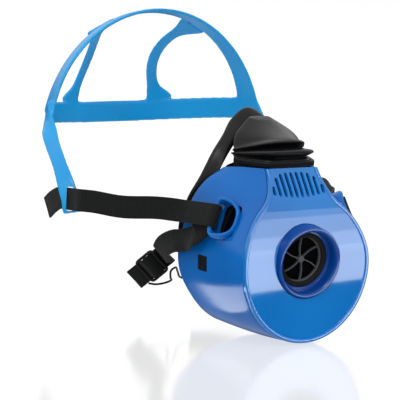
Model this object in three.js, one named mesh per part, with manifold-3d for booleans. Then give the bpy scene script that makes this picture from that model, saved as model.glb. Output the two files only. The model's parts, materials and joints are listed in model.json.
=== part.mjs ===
// Half-mask respirator with a round-thread connector, head harness and neck strap.
//
// Units are millimetres. +X points to the wearer's left, +Y towards the wearer's face and
// +Z up. The origin is the centre of the face seal, in the mask's plane of symmetry.

import * as THREE from 'three';
import { mergeVertices } from 'three/addons/utils/BufferGeometryUtils.js';
import Module from 'manifold-3d';

const wasm = await Module();
wasm.setup();

// ---------------------------------------------------------------------------------------
// Driving dimensions
// ---------------------------------------------------------------------------------------

const GAP = 0.3;                      // play left between two pieces that touch
const DEG = Math.PI / 180;

const connector = {
  rimY: -90, rimZ: -20,               // centre of the rim's plane
  pitch: 5.5 * DEG,                   // the bore points this far below the horizontal
  bore: 20.4,                         // takes a 40 mm round thread
  wall: 3.6,
  length: 39,
  rimRound: 0.8,
  boreDepth: 9,                       // depth of the full bore, where a plugged-in filter stops
  seatBore: 18.7,                     // narrower bore that holds the gasket and the valve seat
  throat: 16.4,                       // bore behind the seat
};

const inhalation = {
  seat: 2.6, ring: 3.6, hub: 2.4, spokes: 6, spokeWidth: 0.9, stem: 1.5, flap: 0.8, lift: 1.6,
};
const gasket = { thickness: 2, width: 3.2 };

const cover = {
  radius: 49.5, centreZ: -22,         // round part of the front
  chinDepth: 52.4,                    // from the round part's centre down to the bottom
  neckHalf: 20.5, neckBlend: 30,      // narrow upper part and the hollow curve that leads to it
  topZ: 40,
  faceY: -86.3,                       // flat lower part of the front face
  lean: [{ z: -14, slope: 0.27 }, { z: 20, slope: 0.5 }],   // the face leans back above these heights
  leanBlend: 4,
  thickness: 2.6,
  bead: 1.5,
};

const grille = { slots: 10, pitch: 4.3, width: 1.7, bottomZ: 22, topZ: 37.5, bottomCrown: 2, topCrown: 8 };

const housing = {
  wall: 2.5,
  bulge: 1.5,
  steps: 30,                          // stations along each half of the outline
  // rear edge of the wearer's left half, from the top corner round to the chin
  rear: [
    [33, -28, 37], [44, -24, 28], [50.5, -18.5, 15], [53, -12, -5], [53, -7, -25], [51.5, -9, -38],
    [48, -17, -50.5], [43, -25, -60], [34, -29, -66.5], [17, -32, -71], [0, -33, -72.5],
  ],
};

const latch = { y: -39, z: -25.5, length: 11, height: 10.5, thickness: 2, proud: 0.4 };

const body = { frontY: -50, thickness: 3, clearance: 1.2, rimGrip: 2.4 };      // inner carrier plate
const exhalation = { z: 22.3, port: 8, seat: 2.2, seatHeight: 3.2, flap: 0.8, rib: 1.4, stem: 1.4, lift: 1.6 };

const face = {
  wall: 2.4,
  lip: 12,                            // depth of the sealing lip that turns inwards
  lipRise: 3,
  flare: 3.5,                         // the flange stands this far out from the housing's inner wall
  cupMiddle: -50, cupBack: -38, cupRear: -26,
  steps: 44,
  // outer edge of the sealing flange, wearer's left half, from the nose bridge to the chin
  edge: [
    [0, -3.4, 73.7], [14, -6, 66.5], [25, -13, 56.5], [35, -17, 46], [43.5, -16.5, 30], [49.5, -11, 14],
    [51.5, -4.5, -6], [49, -5, -26], [43.5, -12, -44], [33.5, -19, -58], [17, -24, -66], [0, -25.5, -68.5],
  ],
};

// Nose part: plan outlines at their heights, each with its front and rear half-widths
const nose = {
  corner: 7, groove: 4.2,
  sections: [
    { z: 47.5, frontHalf: 18.5, frontY: -61, rearHalf: 31, rearY: -24, fold: -1 },
    { z: 51.0, frontHalf: 17.5, frontY: -60.5, rearHalf: 30.5, rearY: -22, fold: -1 },
    { z: 53.5, frontHalf: 17, frontY: -60.5, rearHalf: 30, rearY: -22, fold: 1 },
    { z: 55.8, frontHalf: 15, frontY: -58, rearHalf: 29, rearY: -20, fold: -1 },
    { z: 58.6, frontHalf: 12.5, frontY: -56, rearHalf: 28, rearY: -18, fold: 1 },
    { z: 62.5, frontHalf: 10.5, frontY: -48.5, rearHalf: 22, rearY: -14, fold: 0 },
    { z: 66.5, frontHalf: 9, frontY: -39, rearHalf: 16, rearY: -10, fold: 0 },
    { z: 70.0, frontHalf: 7.5, frontY: -28, rearHalf: 10, rearY: -8, fold: 0 },
    { z: 71.8, frontHalf: 5, frontY: -21, rearHalf: 6, rearY: -10, fold: 0 },
  ],
};

const clampRing = {
  height: 4.2, wall: 3, corner: 6,
  frontHalf: 20.5, frontY: -61.5, rearHalf: 33, rearY: -26.5, endY: -37,
};

// Strap guide: a raised loop with a straight bar at its rear, set on the side wall
const guide = {
  y: -55, z: 8.5,
  front: 12, rear: 8, sidePlay: 3.55, bar: 3,   // sidePlay lies beside the webbing on each side
  rise: 7, barThickness: 2.6, rim: 3.2, frontRim: 1.8, frontRise: 2,
  play: 0.9,                          // between the bar and the strap
};

const webbing = { width: 15.5, thickness: 1.6 };

const harness = {
  thickness: 2.4,
  hoop: { y: 125, z: 40, half: 85, height: 87.5, width: 14.5, foot: 22, tilt: 0.5 },
  band: { z: 55, midZ: 46.5, width: 16 },
  // The rib's route over the head: x, and the share of the height from the band up to the hoop
  rib: {
    width: 8.4, sink: 1.7,
    route: [[38.5, 0], [33, 0.185], [29.5, 0.371], [28, 0.548], [29, 0.71], [32, 0.847], [39, 1]],
  },
  arm: { width: 10.5, endWidth: 13, endPlay: 0.55, slotWidth: 7.4, foot: 1.4 },  // foot is left below the slot
};
const head = {                        // the shape that the harness lies on, a little larger than the hoop
  centre: new THREE.Vector3(0, 75, 50),
  half: new THREE.Vector3(harness.hoop.half + 13, 112, harness.hoop.height + 0.5),
};

const neck = {                        // the wearer's right strand ends in the buckle, the left one in the hook
  buckleAt: new THREE.Vector3(-50, 31, -40),
  run: new THREE.Vector3(-0.33, 0.68, -0.65).normalize(),
  across: new THREE.Vector3(0.63, -0.5, -0.59),
  frameLength: 18, frameThickness: 2, frameSide: 1.6, endBar: 2, midBar: 2.8, tail: 17,
};
const hook = { wire: 1.5, besideHalf: 7.75 };    // its route beside the buckle is drawn for this half-width

// ---------------------------------------------------------------------------------------
// Geometry helpers
// ---------------------------------------------------------------------------------------

const V = (x, y, z) => new THREE.Vector3(x, y, z);

function signedVolume(geometry) {
  const p = geometry.attributes.position, index = geometry.index.array;
  const a = V(), b = V(), c = V();
  let sum = 0;
  for (let i = 0; i < index.length; i += 3) {
    a.fromBufferAttribute(p, index[i]);
    b.fromBufferAttribute(p, index[i + 1]);
    c.fromBufferAttribute(p, index[i + 2]);
    sum += a.dot(b.cross(c)) / 6;
  }
  return sum;
}

// Merges shared vertices and turns the faces outwards.
function closed(geometry) {
  const bare = geometry.clone();
  bare.deleteAttribute('normal');
  bare.deleteAttribute('uv');
  const merged = mergeVertices(bare, 1e-4);
  if (signedVolume(merged) < 0) {
    const index = merged.index.array;
    for (let i = 0; i < index.length; i += 3) [index[i], index[i + 1]] = [index[i + 1], index[i]];
  }
  return merged;
}

function solid(geometry) {
  const g = closed(geometry);
  return new wasm.Manifold(new wasm.Mesh({
    numProp: 3,
    vertProperties: new Float32Array(g.attributes.position.array),
    triVerts: new Uint32Array(g.index.array),
  }));
}

function geometryOf(manifold) {
  const mesh = manifold.getMesh();
  const g = new THREE.BufferGeometry();
  g.setAttribute('position', new THREE.BufferAttribute(mesh.vertProperties, 3));
  g.setIndex(new THREE.BufferAttribute(mesh.triVerts, 1));
  return g;
}

const cut = (target, ...tools) => tools.reduce((s, t) => s.subtract(solid(t)), solid(target));
const join = (...parts) => parts.slice(1).reduce((s, p) => s.add(solid(p)), solid(parts[0]));

// Skin over a row of cross-sections with equal point counts. An open row gets end caps.
function skin(sections, ring = false) {
  const n = sections[0].length, rows = sections.length;
  const position = sections.flat().flatMap((p) => [p.x, p.y, p.z]);
  const index = [];
  for (let r = 0; r < (ring ? rows : rows - 1); r++) {
    for (let k = 0; k < n; k++) {
      const a = r * n + k, b = r * n + (k + 1) % n;
      const c = ((r + 1) % rows) * n + k, d = ((r + 1) % rows) * n + (k + 1) % n;
      index.push(a, b, d, a, d, c);
    }
  }
  if (!ring) {
    for (const [row, start] of [[sections[0], 0], [sections[rows - 1], (rows - 1) * n]]) {
      const normal = loopNormal(row);
      const u = V().subVectors(row[1], row[0]).projectOnPlane(normal).normalize();
      const v = V().crossVectors(normal, u);
      const flat = row.map((p) => new THREE.Vector2(p.dot(u), p.dot(v)));
      for (const t of THREE.ShapeUtils.triangulateShape(flat, [])) {
        index.push(...(start ? [t[0], t[1], t[2]] : [t[0], t[2], t[1]]).map((i) => i + start));
      }
    }
  }
  const g = new THREE.BufferGeometry();
  g.setAttribute('position', new THREE.Float32BufferAttribute(position, 3));
  g.setIndex(index);
  return closed(g);
}

function loopNormal(loop) {
  const sum = V();
  loop.forEach((p, i) => sum.add(V().crossVectors(p, loop[(i + 1) % loop.length])));
  return sum.normalize();
}

// Mirror image through the plane of symmetry
function mirrored(geometry) {
  return closed(geometry.clone().applyMatrix4(new THREE.Matrix4().makeScale(-1, 1, 1)));
}

// A ring or disc turned about an axis: profile points are [radius, height]
function turned(profile, segments = 48) {
  return new THREE.LatheGeometry(profile.map(([r, h]) => new THREE.Vector2(r, h)), segments);
}

function rod(radius, from, to, segments = 16) {
  const length = from.distanceTo(to);
  const g = new THREE.CylinderGeometry(radius, radius, length, segments);
  const turn = new THREE.Quaternion().setFromUnitVectors(V(0, 1, 0), V().subVectors(to, from).normalize());
  return g.applyQuaternion(turn).translate(...V().addVectors(from, to).multiplyScalar(0.5).toArray());
}

function block(dx, dy, dz, at) {
  return new THREE.BoxGeometry(dx, dy, dz).translate(at.x, at.y, at.z);
}

// Extrusion of a 2D shape from z = 0 to the given depth
function plate(shape, depth) {
  return new THREE.ExtrudeGeometry(shape, { depth, bevelEnabled: false, curveSegments: 12 });
}

// Rounds each corner of a 2D polygon with the same number of points, so outlines can be lofted
function rounded(corners, radius, steps = 5) {
  const out = [];
  corners.forEach((c, i) => {
    const before = corners[(i + corners.length - 1) % corners.length];
    const after = corners[(i + 1) % corners.length];
    const reach = (p) => Math.min(radius, p.distanceTo(c) / 2.2);
    const a = c.clone().lerp(before, reach(before) / before.distanceTo(c));
    const b = c.clone().lerp(after, reach(after) / after.distanceTo(c));
    out.push(...new THREE.QuadraticBezierCurve(a, c, b).getPoints(steps));
  });
  return out;
}

// A flat band along a curve. across() and half-width may change along it.
function band(points, across, width, thickness, steps) {
  const path = new THREE.CatmullRomCurve3(points, false, 'centripetal');
  const sections = [];
  for (let i = 0; i <= steps; i++) {
    const s = i / steps;
    const p = path.getPoint(s), t = path.getTangent(s);
    const w = across(s, p).clone().projectOnPlane(t).normalize();
    const n = V().crossVectors(t, w).multiplyScalar(thickness / 2);
    w.multiplyScalar((typeof width === 'function' ? width(s) : width) / 2);
    sections.push([[1, 1], [-1, 1], [-1, -1], [1, -1]].map(([a, b]) => (
      p.clone().addScaledVector(w, a).addScaledVector(n, b))));
  }
  return skin(sections);
}

// ---------------------------------------------------------------------------------------
// Connector: everything on the bore's axis. Depth d runs inwards from the rim.
// ---------------------------------------------------------------------------------------

const rim = V(0, connector.rimY, connector.rimZ);
const inward = V(0, Math.cos(connector.pitch), Math.sin(connector.pitch));
const onAxis = (d) => rim.clone().addScaledVector(inward, d);
const outerRadius = connector.bore + connector.wall;
const seatDepth = connector.boreDepth + gasket.thickness + 0.5;

// Lathe profiles are written as [radius, depth]
function onBore(profile, segments = 48) {
  return turned(profile, segments).rotateX(connector.pitch).translate(rim.x, rim.y, rim.z);
}

function connectorCollar() {
  const c = connector.rimRound;
  const ledge = seatDepth + inhalation.seat + GAP;
  return closed(onBore([
    [connector.bore + c, 0], [outerRadius - c, 0], [outerRadius, c], [outerRadius, connector.length],
    [connector.throat, connector.length], [connector.throat, ledge], [connector.seatBore, ledge],
    [connector.seatBore, connector.boreDepth], [connector.bore, connector.boreDepth],
    [connector.bore, c], [connector.bore + c, 0],
  ], 56));
}

function connectorGasket() {
  const back = seatDepth - GAP, front = back - gasket.thickness;
  const outer = connector.seatBore - GAP, inner = outer - gasket.width;
  return closed(onBore([[inner, front], [outer, front], [outer, back], [inner, back], [inner, front]]));
}

function inhalationSeat() {
  const front = seatDepth, back = front + inhalation.seat;
  const outer = connector.seatBore - GAP, inner = outer - inhalation.ring;
  const parts = [onBore([[inner, front], [outer, front], [outer, back], [inner, back], [inner, front]])];
  parts.push(rod(inhalation.hub, onAxis(front - 0.6), onAxis(back), 20));
  parts.push(rod(inhalation.stem, onAxis(back - 0.5), onAxis(back + inhalation.lift + 2.4)));
  const stop = back + inhalation.lift + 1.6;
  parts.push(rod(inhalation.stem + 1, onAxis(stop), onAxis(stop + 1)));
  const side = V(1, 0, 0), up = V().crossVectors(side, inward).negate();
  const middle = onAxis(front + inhalation.seat / 2);
  for (let k = 0; k < inhalation.spokes; k++) {
    const spoke = [0.5, 6, 11, inner + 1].map((r, i) => {
      const turn = (k * 360 / inhalation.spokes + 12 + i * 7) * DEG;
      return middle.clone().addScaledVector(side, r * Math.cos(turn)).addScaledVector(up, r * Math.sin(turn));
    });
    parts.push(band(spoke, () => inward, inhalation.seat - 0.6, inhalation.spokeWidth, 6));
  }
  return geometryOf(join(...parts));
}

function inhalationFlap() {
  const front = seatDepth + inhalation.seat + GAP, back = front + inhalation.flap;
  const outer = connector.throat - 0.9, inner = inhalation.stem + GAP;
  return closed(onBore([[inner, front], [outer, front], [outer, back], [inner, back], [inner, front]]));
}

// ---------------------------------------------------------------------------------------
// Front cover and housing
// ---------------------------------------------------------------------------------------

// Depth of the front face at height z: flat below, then leaning back in two stages
function faceY(z) {
  const b = cover.leanBlend;
  return cover.lean.reduce((y, k) => y + k.slope * b * Math.log1p(Math.exp((z - k.z) / b)), cover.faceY);
}

// Half outline of the front, from the top corner to the bottom, as [x, z] with its outward normal
function halfOutline() {
  const R = cover.radius, r = cover.neckBlend, cx = cover.neckHalf + r;
  const cz = cover.centreZ + Math.sqrt((R + r) ** 2 - cx ** 2);
  const meet = Math.acos(cx / (R + r));
  const curve = new THREE.CurvePath();
  const neckArc = new THREE.EllipseCurve(cx, cz, r, r, Math.PI, Math.PI + meet, false);
  const top = new THREE.Vector2(cover.neckHalf, Math.max(cover.topZ, cz + 0.1));
  curve.add(new THREE.LineCurve(top, neckArc.getPoint(0)));
  curve.add(neckArc);
  curve.add(new THREE.EllipseCurve(0, cover.centreZ, R, R, meet, 0, true));
  curve.add(new THREE.EllipseCurve(0, cover.centreZ, R, cover.chinDepth, 0, -Math.PI / 2, true));
  return curve;
}

const outline = halfOutline();
const rearCurve = new THREE.CatmullRomCurve3(housing.rear.map((p) => V(...p)), false, 'centripetal');

function frontPoint(s) {
  const p = outline.getPointAt(s);
  return V(p.x, faceY(p.y) + cover.thickness + GAP, p.y);
}

// A point of the side wall: s runs down the outline, f from the front (0) to the rear edge (1)
function wallPoint(s, f, inset = 0) {
  const clamp = (q) => Math.min(Math.max(q, 0), 1);
  const point = (q, g) => frontPoint(clamp(q)).lerp(rearCurve.getPointAt(clamp(q)), g);
  const e = 0.01;
  const along = V().subVectors(point(s + e, f), point(s - e, f));
  if (s === 1) along.set(-1, 0, 0);
  const back = V().subVectors(point(s, 1), point(s, 0));
  const out = V().crossVectors(along, back).normalize();
  return point(s, f).addScaledVector(out, housing.bulge * Math.sin(Math.PI * f) - inset);
}

const fractions = [...Array(housing.steps + 1).keys()].map((i) => i / housing.steps);
const flip = (p) => V(-p.x, p.y, p.z);

// Repeats the wearer's left half of a row of sections on the right
function bothSides(half) {
  return [...half, ...half.slice(0, -1).reverse().map((section) => section.map(flip))];
}

function frontCover() {
  const R = cover.radius + 10, low = cover.centreZ - cover.chinDepth - 5;
  const heights = [...Array(41).keys()].map((i) => low + (cover.topZ - low) * i / 40);
  const strip = new THREE.Shape([
    ...heights.map((z) => new THREE.Vector2(faceY(z), z)),
    ...heights.reverse().map((z) => new THREE.Vector2(faceY(z) + cover.thickness, z)),
  ]);
  const toYZ = new THREE.Matrix4().makeBasis(V(0, 1, 0), V(0, 0, 1), V(1, 0, 0)).setPosition(-R, 0, 0);
  const slab = solid(plate(strip, 2 * R).applyMatrix4(toYZ));

  const half = fractions.map((s) => outline.getPointAt(s));
  const whole = [...half, ...half.slice(0, -1).reverse().map((p) => new THREE.Vector2(-p.x, p.y))];
  const toXZ = new THREE.Matrix4().makeBasis(V(1, 0, 0), V(0, 0, 1), V(0, -1, 0)).setPosition(0, -40, 0);
  let shell = slab.intersect(solid(plate(new THREE.Shape(whole), 60).applyMatrix4(toXZ)));

  const bead = bothSides(fractions.map((s) => {
    const p = outline.getPointAt(s), t = outline.getTangentAt(s);
    const centre = V(p.x, faceY(p.y), p.y), out = V(-t.y, 0, t.x);
    centre.addScaledVector(out, -cover.bead * 0.95);
    return [...Array(8).keys()].map((k) => centre.clone()
      .addScaledVector(out, cover.bead * Math.cos(k * Math.PI / 4))
      .addScaledVector(V(0, 1, 0), cover.bead * Math.sin(k * Math.PI / 4)));
  }));
  shell = shell.add(solid(skin(bead)));

  shell = shell.subtract(solid(rod(outerRadius + GAP, onAxis(-10), onAxis(30), 56)));
  const middle = (grille.slots - 1) / 2;
  for (let k = 0; k < grille.slots; k++) {
    const off = Math.abs(k - middle) / middle;
    const bottom = grille.bottomZ + grille.bottomCrown * off ** 2;
    const top = grille.topZ - grille.topCrown * off ** 4;
    shell = shell.subtract(solid(block(grille.width, 60, top - bottom,
      V((k - middle) * grille.pitch, -70, (top + bottom) / 2))));
  }
  return geometryOf(shell);
}

function latchAt() {
  const s = fractions.find((q) => frontPoint(q).z < latch.z);
  const f = (latch.y - frontPoint(s).y) / (rearCurve.getPointAt(s).y - frontPoint(s).y);
  return wallPoint(s, f);
}

function latchButton() {
  const x = latchAt().x + latch.proud - latch.thickness / 2;
  return block(latch.thickness, latch.length - 2 * GAP, latch.height - 2 * GAP, V(x, latch.y, latch.z));
}

function housingShell() {
  const sections = bothSides(fractions.map((s) => {
    const innerFront = wallPoint(s, 0, housing.wall);
    innerFront.y = Math.max(innerFront.y, frontPoint(s).y);      // stays behind the cover
    return [
      wallPoint(s, 0), wallPoint(s, 0.5), wallPoint(s, 1),
      wallPoint(s, 1, housing.wall), wallPoint(s, 0.5, housing.wall), innerFront,
    ];
  }));
  let shell = solid(skin(sections));
  for (const side of [1, -1]) {
    const at = V(side * latchAt().x, latch.y, latch.z);
    shell = shell.subtract(solid(block(12, latch.length, latch.height, at)));
    const hole = guideLocal(plate(guideInner(), 30).translate(0, 0, -18));
    shell = shell.subtract(solid(side > 0 ? hole : mirrored(hole)));
  }
  return geometryOf(shell);
}

// ---------------------------------------------------------------------------------------
// Strap guides. Local frame on the side wall: x back along the wall, y up, z outwards.
// ---------------------------------------------------------------------------------------

function guideMatrix() {
  const s = fractions.find((q) => frontPoint(q).z < guide.z);
  const front = frontPoint(s), back = rearCurve.getPointAt(s);
  const f = (guide.y - front.y) / (back.y - front.y);
  const at = wallPoint(s, f), u = V().subVectors(wallPoint(s, f + 0.1), wallPoint(s, f - 0.1)).normalize();
  const below = wallPoint(s + 0.06, f), above = wallPoint(s - 0.06, f);
  const w = V().subVectors(above, below).projectOnPlane(u).normalize();
  const out = V().crossVectors(u, w);
  return new THREE.Matrix4().makeBasis(u, w, out).setPosition(at);
}

const guideFrame = guideMatrix();
const guideLocal = (geometry) => closed(geometry.applyMatrix4(guideFrame));
const fromGuide = (u, w, n) => V(u, w, n).applyMatrix4(guideFrame);

// D outline: straight at the rear, round at the front
function dShape(front, rear, half) {
  const r = Math.min(half * 0.8, front + rear - 1);
  const s = new THREE.Shape();
  s.moveTo(rear, -half);
  s.lineTo(rear, half);
  s.lineTo(-front + r, half);
  s.quadraticCurveTo(-front, half, -front, half - r);
  s.lineTo(-front, -half + r);
  s.quadraticCurveTo(-front, -half, -front + r, -half);
  s.closePath();
  return s;
}

const guideHole = webbing.width / 2 + guide.sidePlay, guideHalf = guideHole + guide.rim;
const guideInner = () => dShape(guide.front - guide.frontRim, guide.rear - guide.bar, guideHole);

function strapGuide() {
  const base = GAP + 0.9;
  const outline = dShape(guide.front, guide.rear, guideHalf);
  const ring = guideLocal(plate(outline, guide.rise - base).translate(0, 0, base));
  const hole = guideLocal(plate(guideInner(), 40).translate(0, 0, -20));
  const under = guideLocal(block(guide.rear + 10, 2 * guideHole, 2 * (guide.rise - guide.barThickness),
    V(guide.rear / 2 + 5, 0, 0)));
  // the sides slope down from the bar to the front of the loop
  const slope = Math.atan2(guide.rise - guide.frontRise, guide.front);
  const above = guideLocal(block(60, 60, 20, V(-30, 0, 10)).rotateY(-slope).translate(0, 0, guide.rise));
  return geometryOf(cut(ring, hole, under, above));
}

// ---------------------------------------------------------------------------------------
// Carrier plate and exhalation valve
// ---------------------------------------------------------------------------------------

// Closed loop at one depth, a given inset inside the housing
function loopAtY(y, inset) {
  const half = fractions.map((s) => {
    const front = frontPoint(s).y, back = rearCurve.getPointAt(s).y;
    return wallPoint(s, Math.min(Math.max((y - front) / (back - front), 0), 1), inset);
  }).map((p) => V(p.x, y, Math.min(p.z, cover.topZ - inset)));
  return [...half, ...half.slice(0, -1).reverse().map(flip)];
}

// Slab between two depths whose outline follows the housing
function housingSlab(y0, y1, inset) {
  return skin([cupLoop(y0, inset), cupLoop(y1, inset)]);
}

function carrierPlate() {
  const inset = housing.wall + body.clearance + face.wall + 3 * GAP;
  const slab = housingSlab(body.frontY, body.frontY + body.thickness, inset);
  const bore = rod(outerRadius + GAP, onAxis(10), onAxis(60), 56);
  const portFrom = V(0, body.frontY - 5, exhalation.z), portTo = V(0, body.frontY + 10, exhalation.z);
  const port = rod(exhalation.port, portFrom, portTo, 40);
  return geometryOf(cut(slab, bore, port));
}

// Lathe profile [radius, height towards the front] about the exhalation port's axis
function onPort(profile, segments = 40) {
  return turned(profile, segments).rotateX(Math.PI).translate(0, body.frontY, exhalation.z);
}

function exhalationSeat() {
  const inner = exhalation.port, outer = inner + exhalation.seat, top = exhalation.seatHeight;
  const ring = onPort([
    [inner, GAP], [outer, GAP], [outer, top - 1], [inner + 0.8, top], [inner, top], [inner, GAP],
  ]);
  const level = body.frontY - GAP - 0.8, mid = V(0, level, exhalation.z);
  const bars = [0, 1].map((k) => block(2 * inner + 1, 1.6, exhalation.rib, V()).rotateY(k * Math.PI / 2)
    .translate(mid.x, mid.y, mid.z));
  const stem = rod(exhalation.stem, mid, V(0, body.frontY - top - exhalation.lift - 2, exhalation.z), 14);
  return geometryOf(join(ring, ...bars, stem));
}

function exhalationFlap() {
  const low = exhalation.seatHeight + GAP, high = low + exhalation.flap;
  const inner = exhalation.stem + GAP, outer = exhalation.port + 1.6;
  return closed(onPort([[inner, low], [outer, low], [outer, high - 0.3], [inner, high], [inner, low]]));
}

// ---------------------------------------------------------------------------------------
// Facepiece and its clamp ring
// ---------------------------------------------------------------------------------------

// Spaces a closed loop evenly, starting where it crosses the plane of symmetry at the top
function even(points, count = face.steps) {
  const curve = new THREE.CatmullRomCurve3(points, true, 'centripetal');
  curve.arcLengthDivisions = 600;
  return [...Array(count).keys()].map((i) => curve.getPointAt(i / count));
}

function edgeLoop() {
  const half = face.edge.map((p) => V(...p));
  return even([...half, ...half.slice(1, -1).reverse().map(flip)]);
}

// Moves a loop inwards in its own plane and along Y
function insetLoop(loop, amount, dy = 0) {
  return loop.map((p, i) => {
    const t = V().subVectors(loop[(i + 1) % loop.length], loop[(i + loop.length - 1) % loop.length]);
    const side = V(t.z, 0, -t.x).normalize();
    const inwardSign = Math.sign(side.dot(V(-p.x, 0, -p.z))) || 1;
    return p.clone().addScaledVector(side, amount * inwardSign).add(V(0, dy, 0));
  });
}

function cupLoop(y, inset) {
  const loop = loopAtY(y, inset);
  const top = Math.max(...loop.map((p) => p.z));
  const k = loop.findIndex((p) => p.z < top - 0.5);
  const width = loop[Math.max(k - 1, 0)].x;
  const lid = [0, 0.5].map((f) => V(width * f, y, top + 0.6 * (1 - f)));
  const half = loop.slice(0, fractions.length);
  return even([...lid, ...half, ...half.slice(0, -1).reverse().map(flip), flip(lid[1])]);
}

function noseSections(inset) {
  return nose.sections.map((k) => {
    const less = inset + (k.fold < 0 ? nose.groove : 0);
    const corners = [
      [k.frontHalf - less, k.frontY + less], [k.rearHalf - less, k.rearY - 0.5 * inset],
      [-k.rearHalf + less, k.rearY - 0.5 * inset], [-k.frontHalf + less, k.frontY + less],
    ].map(([x, y]) => new THREE.Vector2(x, y));
    return rounded(corners, nose.corner).map((p) => V(p.x, p.y, k.z - (k.fold < 0 ? 0 : inset * 0.6)));
  });
}

function ringOutline(inset, z) {
  const c = clampRing;
  const corners = [
    [c.frontHalf - inset, c.frontY + inset], [c.rearHalf - inset, c.rearY - inset],
    [-c.rearHalf + inset, c.rearY - inset], [-c.frontHalf + inset, c.frontY + inset],
  ].map(([x, y]) => new THREE.Vector2(x, y));
  return rounded(corners, c.corner).map((p) => V(p.x, p.y, z));
}

const ringBase = cover.topZ + GAP;

function clampRingSolid() {
  const top = ringBase + clampRing.height;
  const ring = skin([ringOutline(0, ringBase), ringOutline(0, top)]);
  const inside = skin([ringOutline(clampRing.wall, ringBase - 1), ringOutline(clampRing.wall, top + 1)]);
  const behind = block(100, 40, 30, V(0, clampRing.endY + 20, ringBase));
  return geometryOf(cut(ring, inside, behind));
}

// The cup follows the housing's inner wall back to where it opens out into the flange
function cupLoops(front, inset, flange) {
  const back = cupLoop(face.cupRear, inset);
  back.forEach((p, i) => { p.y = Math.min(p.y, flange[i].y - 1.5); });
  return [cupLoop(front, inset), cupLoop(face.cupMiddle, inset), cupLoop(face.cupBack, inset), back, flange];
}

function facepiece() {
  const inset = housing.wall + body.clearance, edge = edgeLoop(), w = face.wall;
  const front = body.frontY - body.rimGrip, flare = face.flare + housing.wall;
  const outerCup = skin([
    ...cupLoops(front, inset, insetLoop(edge, flare, -7)), insetLoop(edge, 0, -1.5), edge,
    insetLoop(edge, face.lip * 0.5, face.lipRise), insetLoop(edge, face.lip, face.lipRise * 0.7),
  ]);
  const neckLow = clampRing.wall + GAP;
  const low = [ringOutline(neckLow, 33), ringOutline(neckLow, ringBase + clampRing.height + 0.5)];
  const outerNose = skin([...low, ...noseSections(0)]);
  const innerCup = skin([
    ...cupLoops(front - 2, inset + w, insetLoop(edge, flare + w, -8)),
    insetLoop(edge, w + 1, -3.2), insetLoop(edge, face.lip * 0.55, -1), insetLoop(edge, face.lip, -1),
    insetLoop(edge, face.lip, 12),
  ]);
  const neckTop = ringBase + clampRing.height + 0.5;
  const lowInner = [ringOutline(neckLow + w, 35.5), ringOutline(neckLow + w, neckTop)];
  const innerNose = skin([...lowInner, ...noseSections(w)]);
  const whole = solid(outerCup).add(solid(outerNose)).subtract(solid(innerCup)).subtract(solid(innerNose));
  return geometryOf(whole);
}

// ---------------------------------------------------------------------------------------
// Head harness
// ---------------------------------------------------------------------------------------

// Outward normal of the head shape at a point
function headNormal(p) {
  const d = V().subVectors(p, head.centre);
  return V(d.x / head.half.x ** 2, d.y / head.half.y ** 2, d.z / head.half.z ** 2).normalize();
}

// A band that lies flat on the head shape
function headBand(points, width, steps, tilt = 1) {
  const path = new THREE.CatmullRomCurve3(points, false, 'centripetal');
  const across = (s, p) => V().crossVectors(headNormal(p).multiply(V(1, tilt, 1)), path.getTangent(s));
  return band(points, across, width, harness.thickness, steps);
}

function hoopPoint(turn) {
  const h = harness.hoop;
  return V(h.half * Math.cos(turn), h.y, h.z + h.height * Math.sin(turn));
}

function hoop() {
  const start = 10 * DEG, count = 24;
  const points = [...Array(count + 1).keys()].map((i) => hoopPoint(start + (Math.PI - 2 * start) * i / count));
  const { width, foot, tilt } = harness.hoop;
  return headBand(points, (s) => width + (foot - width) * (2 * Math.abs(s - 0.5)) ** 4, 40, tilt);
}

function backBandPoint(turn) {
  const x = harness.hoop.half * Math.cos(turn) / Math.cos(25 * DEG);
  const y = head.centre.y + head.half.y * Math.sin(turn);
  return V(x, y, harness.band.midZ + (harness.band.z - harness.band.midZ) * (x / harness.hoop.half) ** 2);
}

function backBand() {
  const start = 25 * DEG, count = 20;
  const turns = [...Array(count + 1).keys()].map((i) => start + (Math.PI - 2 * start) * i / count);
  const points = turns.map(backBandPoint);
  return headBand(points, harness.band.width, 40);
}

// A point on the back of the head shape
function onHead(x, z) {
  const h = head.half, c = head.centre;
  return V(x, c.y + h.y * Math.sqrt(1 - (x / h.x) ** 2 - ((z - c.z) / h.z) ** 2), z);
}

function rib() {
  const { hoop, band: low } = harness, { route, sink, width } = harness.rib;
  const top = hoop.z + hoop.height * Math.sqrt(1 - (route.at(-1)[0] / hoop.half) ** 2) - sink;
  return headBand(route.map(([x, share]) => onHead(x, low.z - 1 + (top - low.z + 1) * share)), width, 24);
}

const armEnd = V(100, 61, 4.5);
const slotLength = webbing.width + 2 * harness.arm.endPlay;
const armStart = V(harness.hoop.half - 1, harness.hoop.y + 1, harness.hoop.z + 20);
const armPath = [armStart, V(4.5, -9, -10).add(armStart),
  ...[[94, 101, 39], [99, 81, 28], [101, 67, 16], [100, 61, 5]].map((p) => V(...p)),
  V(99, 59, armEnd.z - slotLength / 2 - harness.arm.foot)];
const armEndNormal = V(0.52, -0.84, 0);      // the arms are splayed, so their faces turn forwards

function arm() {
  const path = new THREE.CatmullRomCurve3(armPath, false, 'centripetal');
  const across = (s, p) => {
    const n = headNormal(p).lerp(armEndNormal, THREE.MathUtils.smoothstep(s, 0, 0.3)).normalize();
    return V().crossVectors(n, path.getTangent(s));
  };
  const { width, endWidth } = harness.arm;
  const taper = (s) => width + 4 * (1 - s) ** 4 + (endWidth - width) * THREE.MathUtils.smoothstep(s, 0.6, 0.85);
  const blade = band(armPath, across, taper, harness.thickness, 30);
  const slot = block(14, harness.arm.slotWidth, slotLength, V())
    .rotateZ(Math.atan2(armEndNormal.y, armEndNormal.x)).translate(armEnd.x, armEnd.y, armEnd.z);
  return [blade, slot];
}

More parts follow.
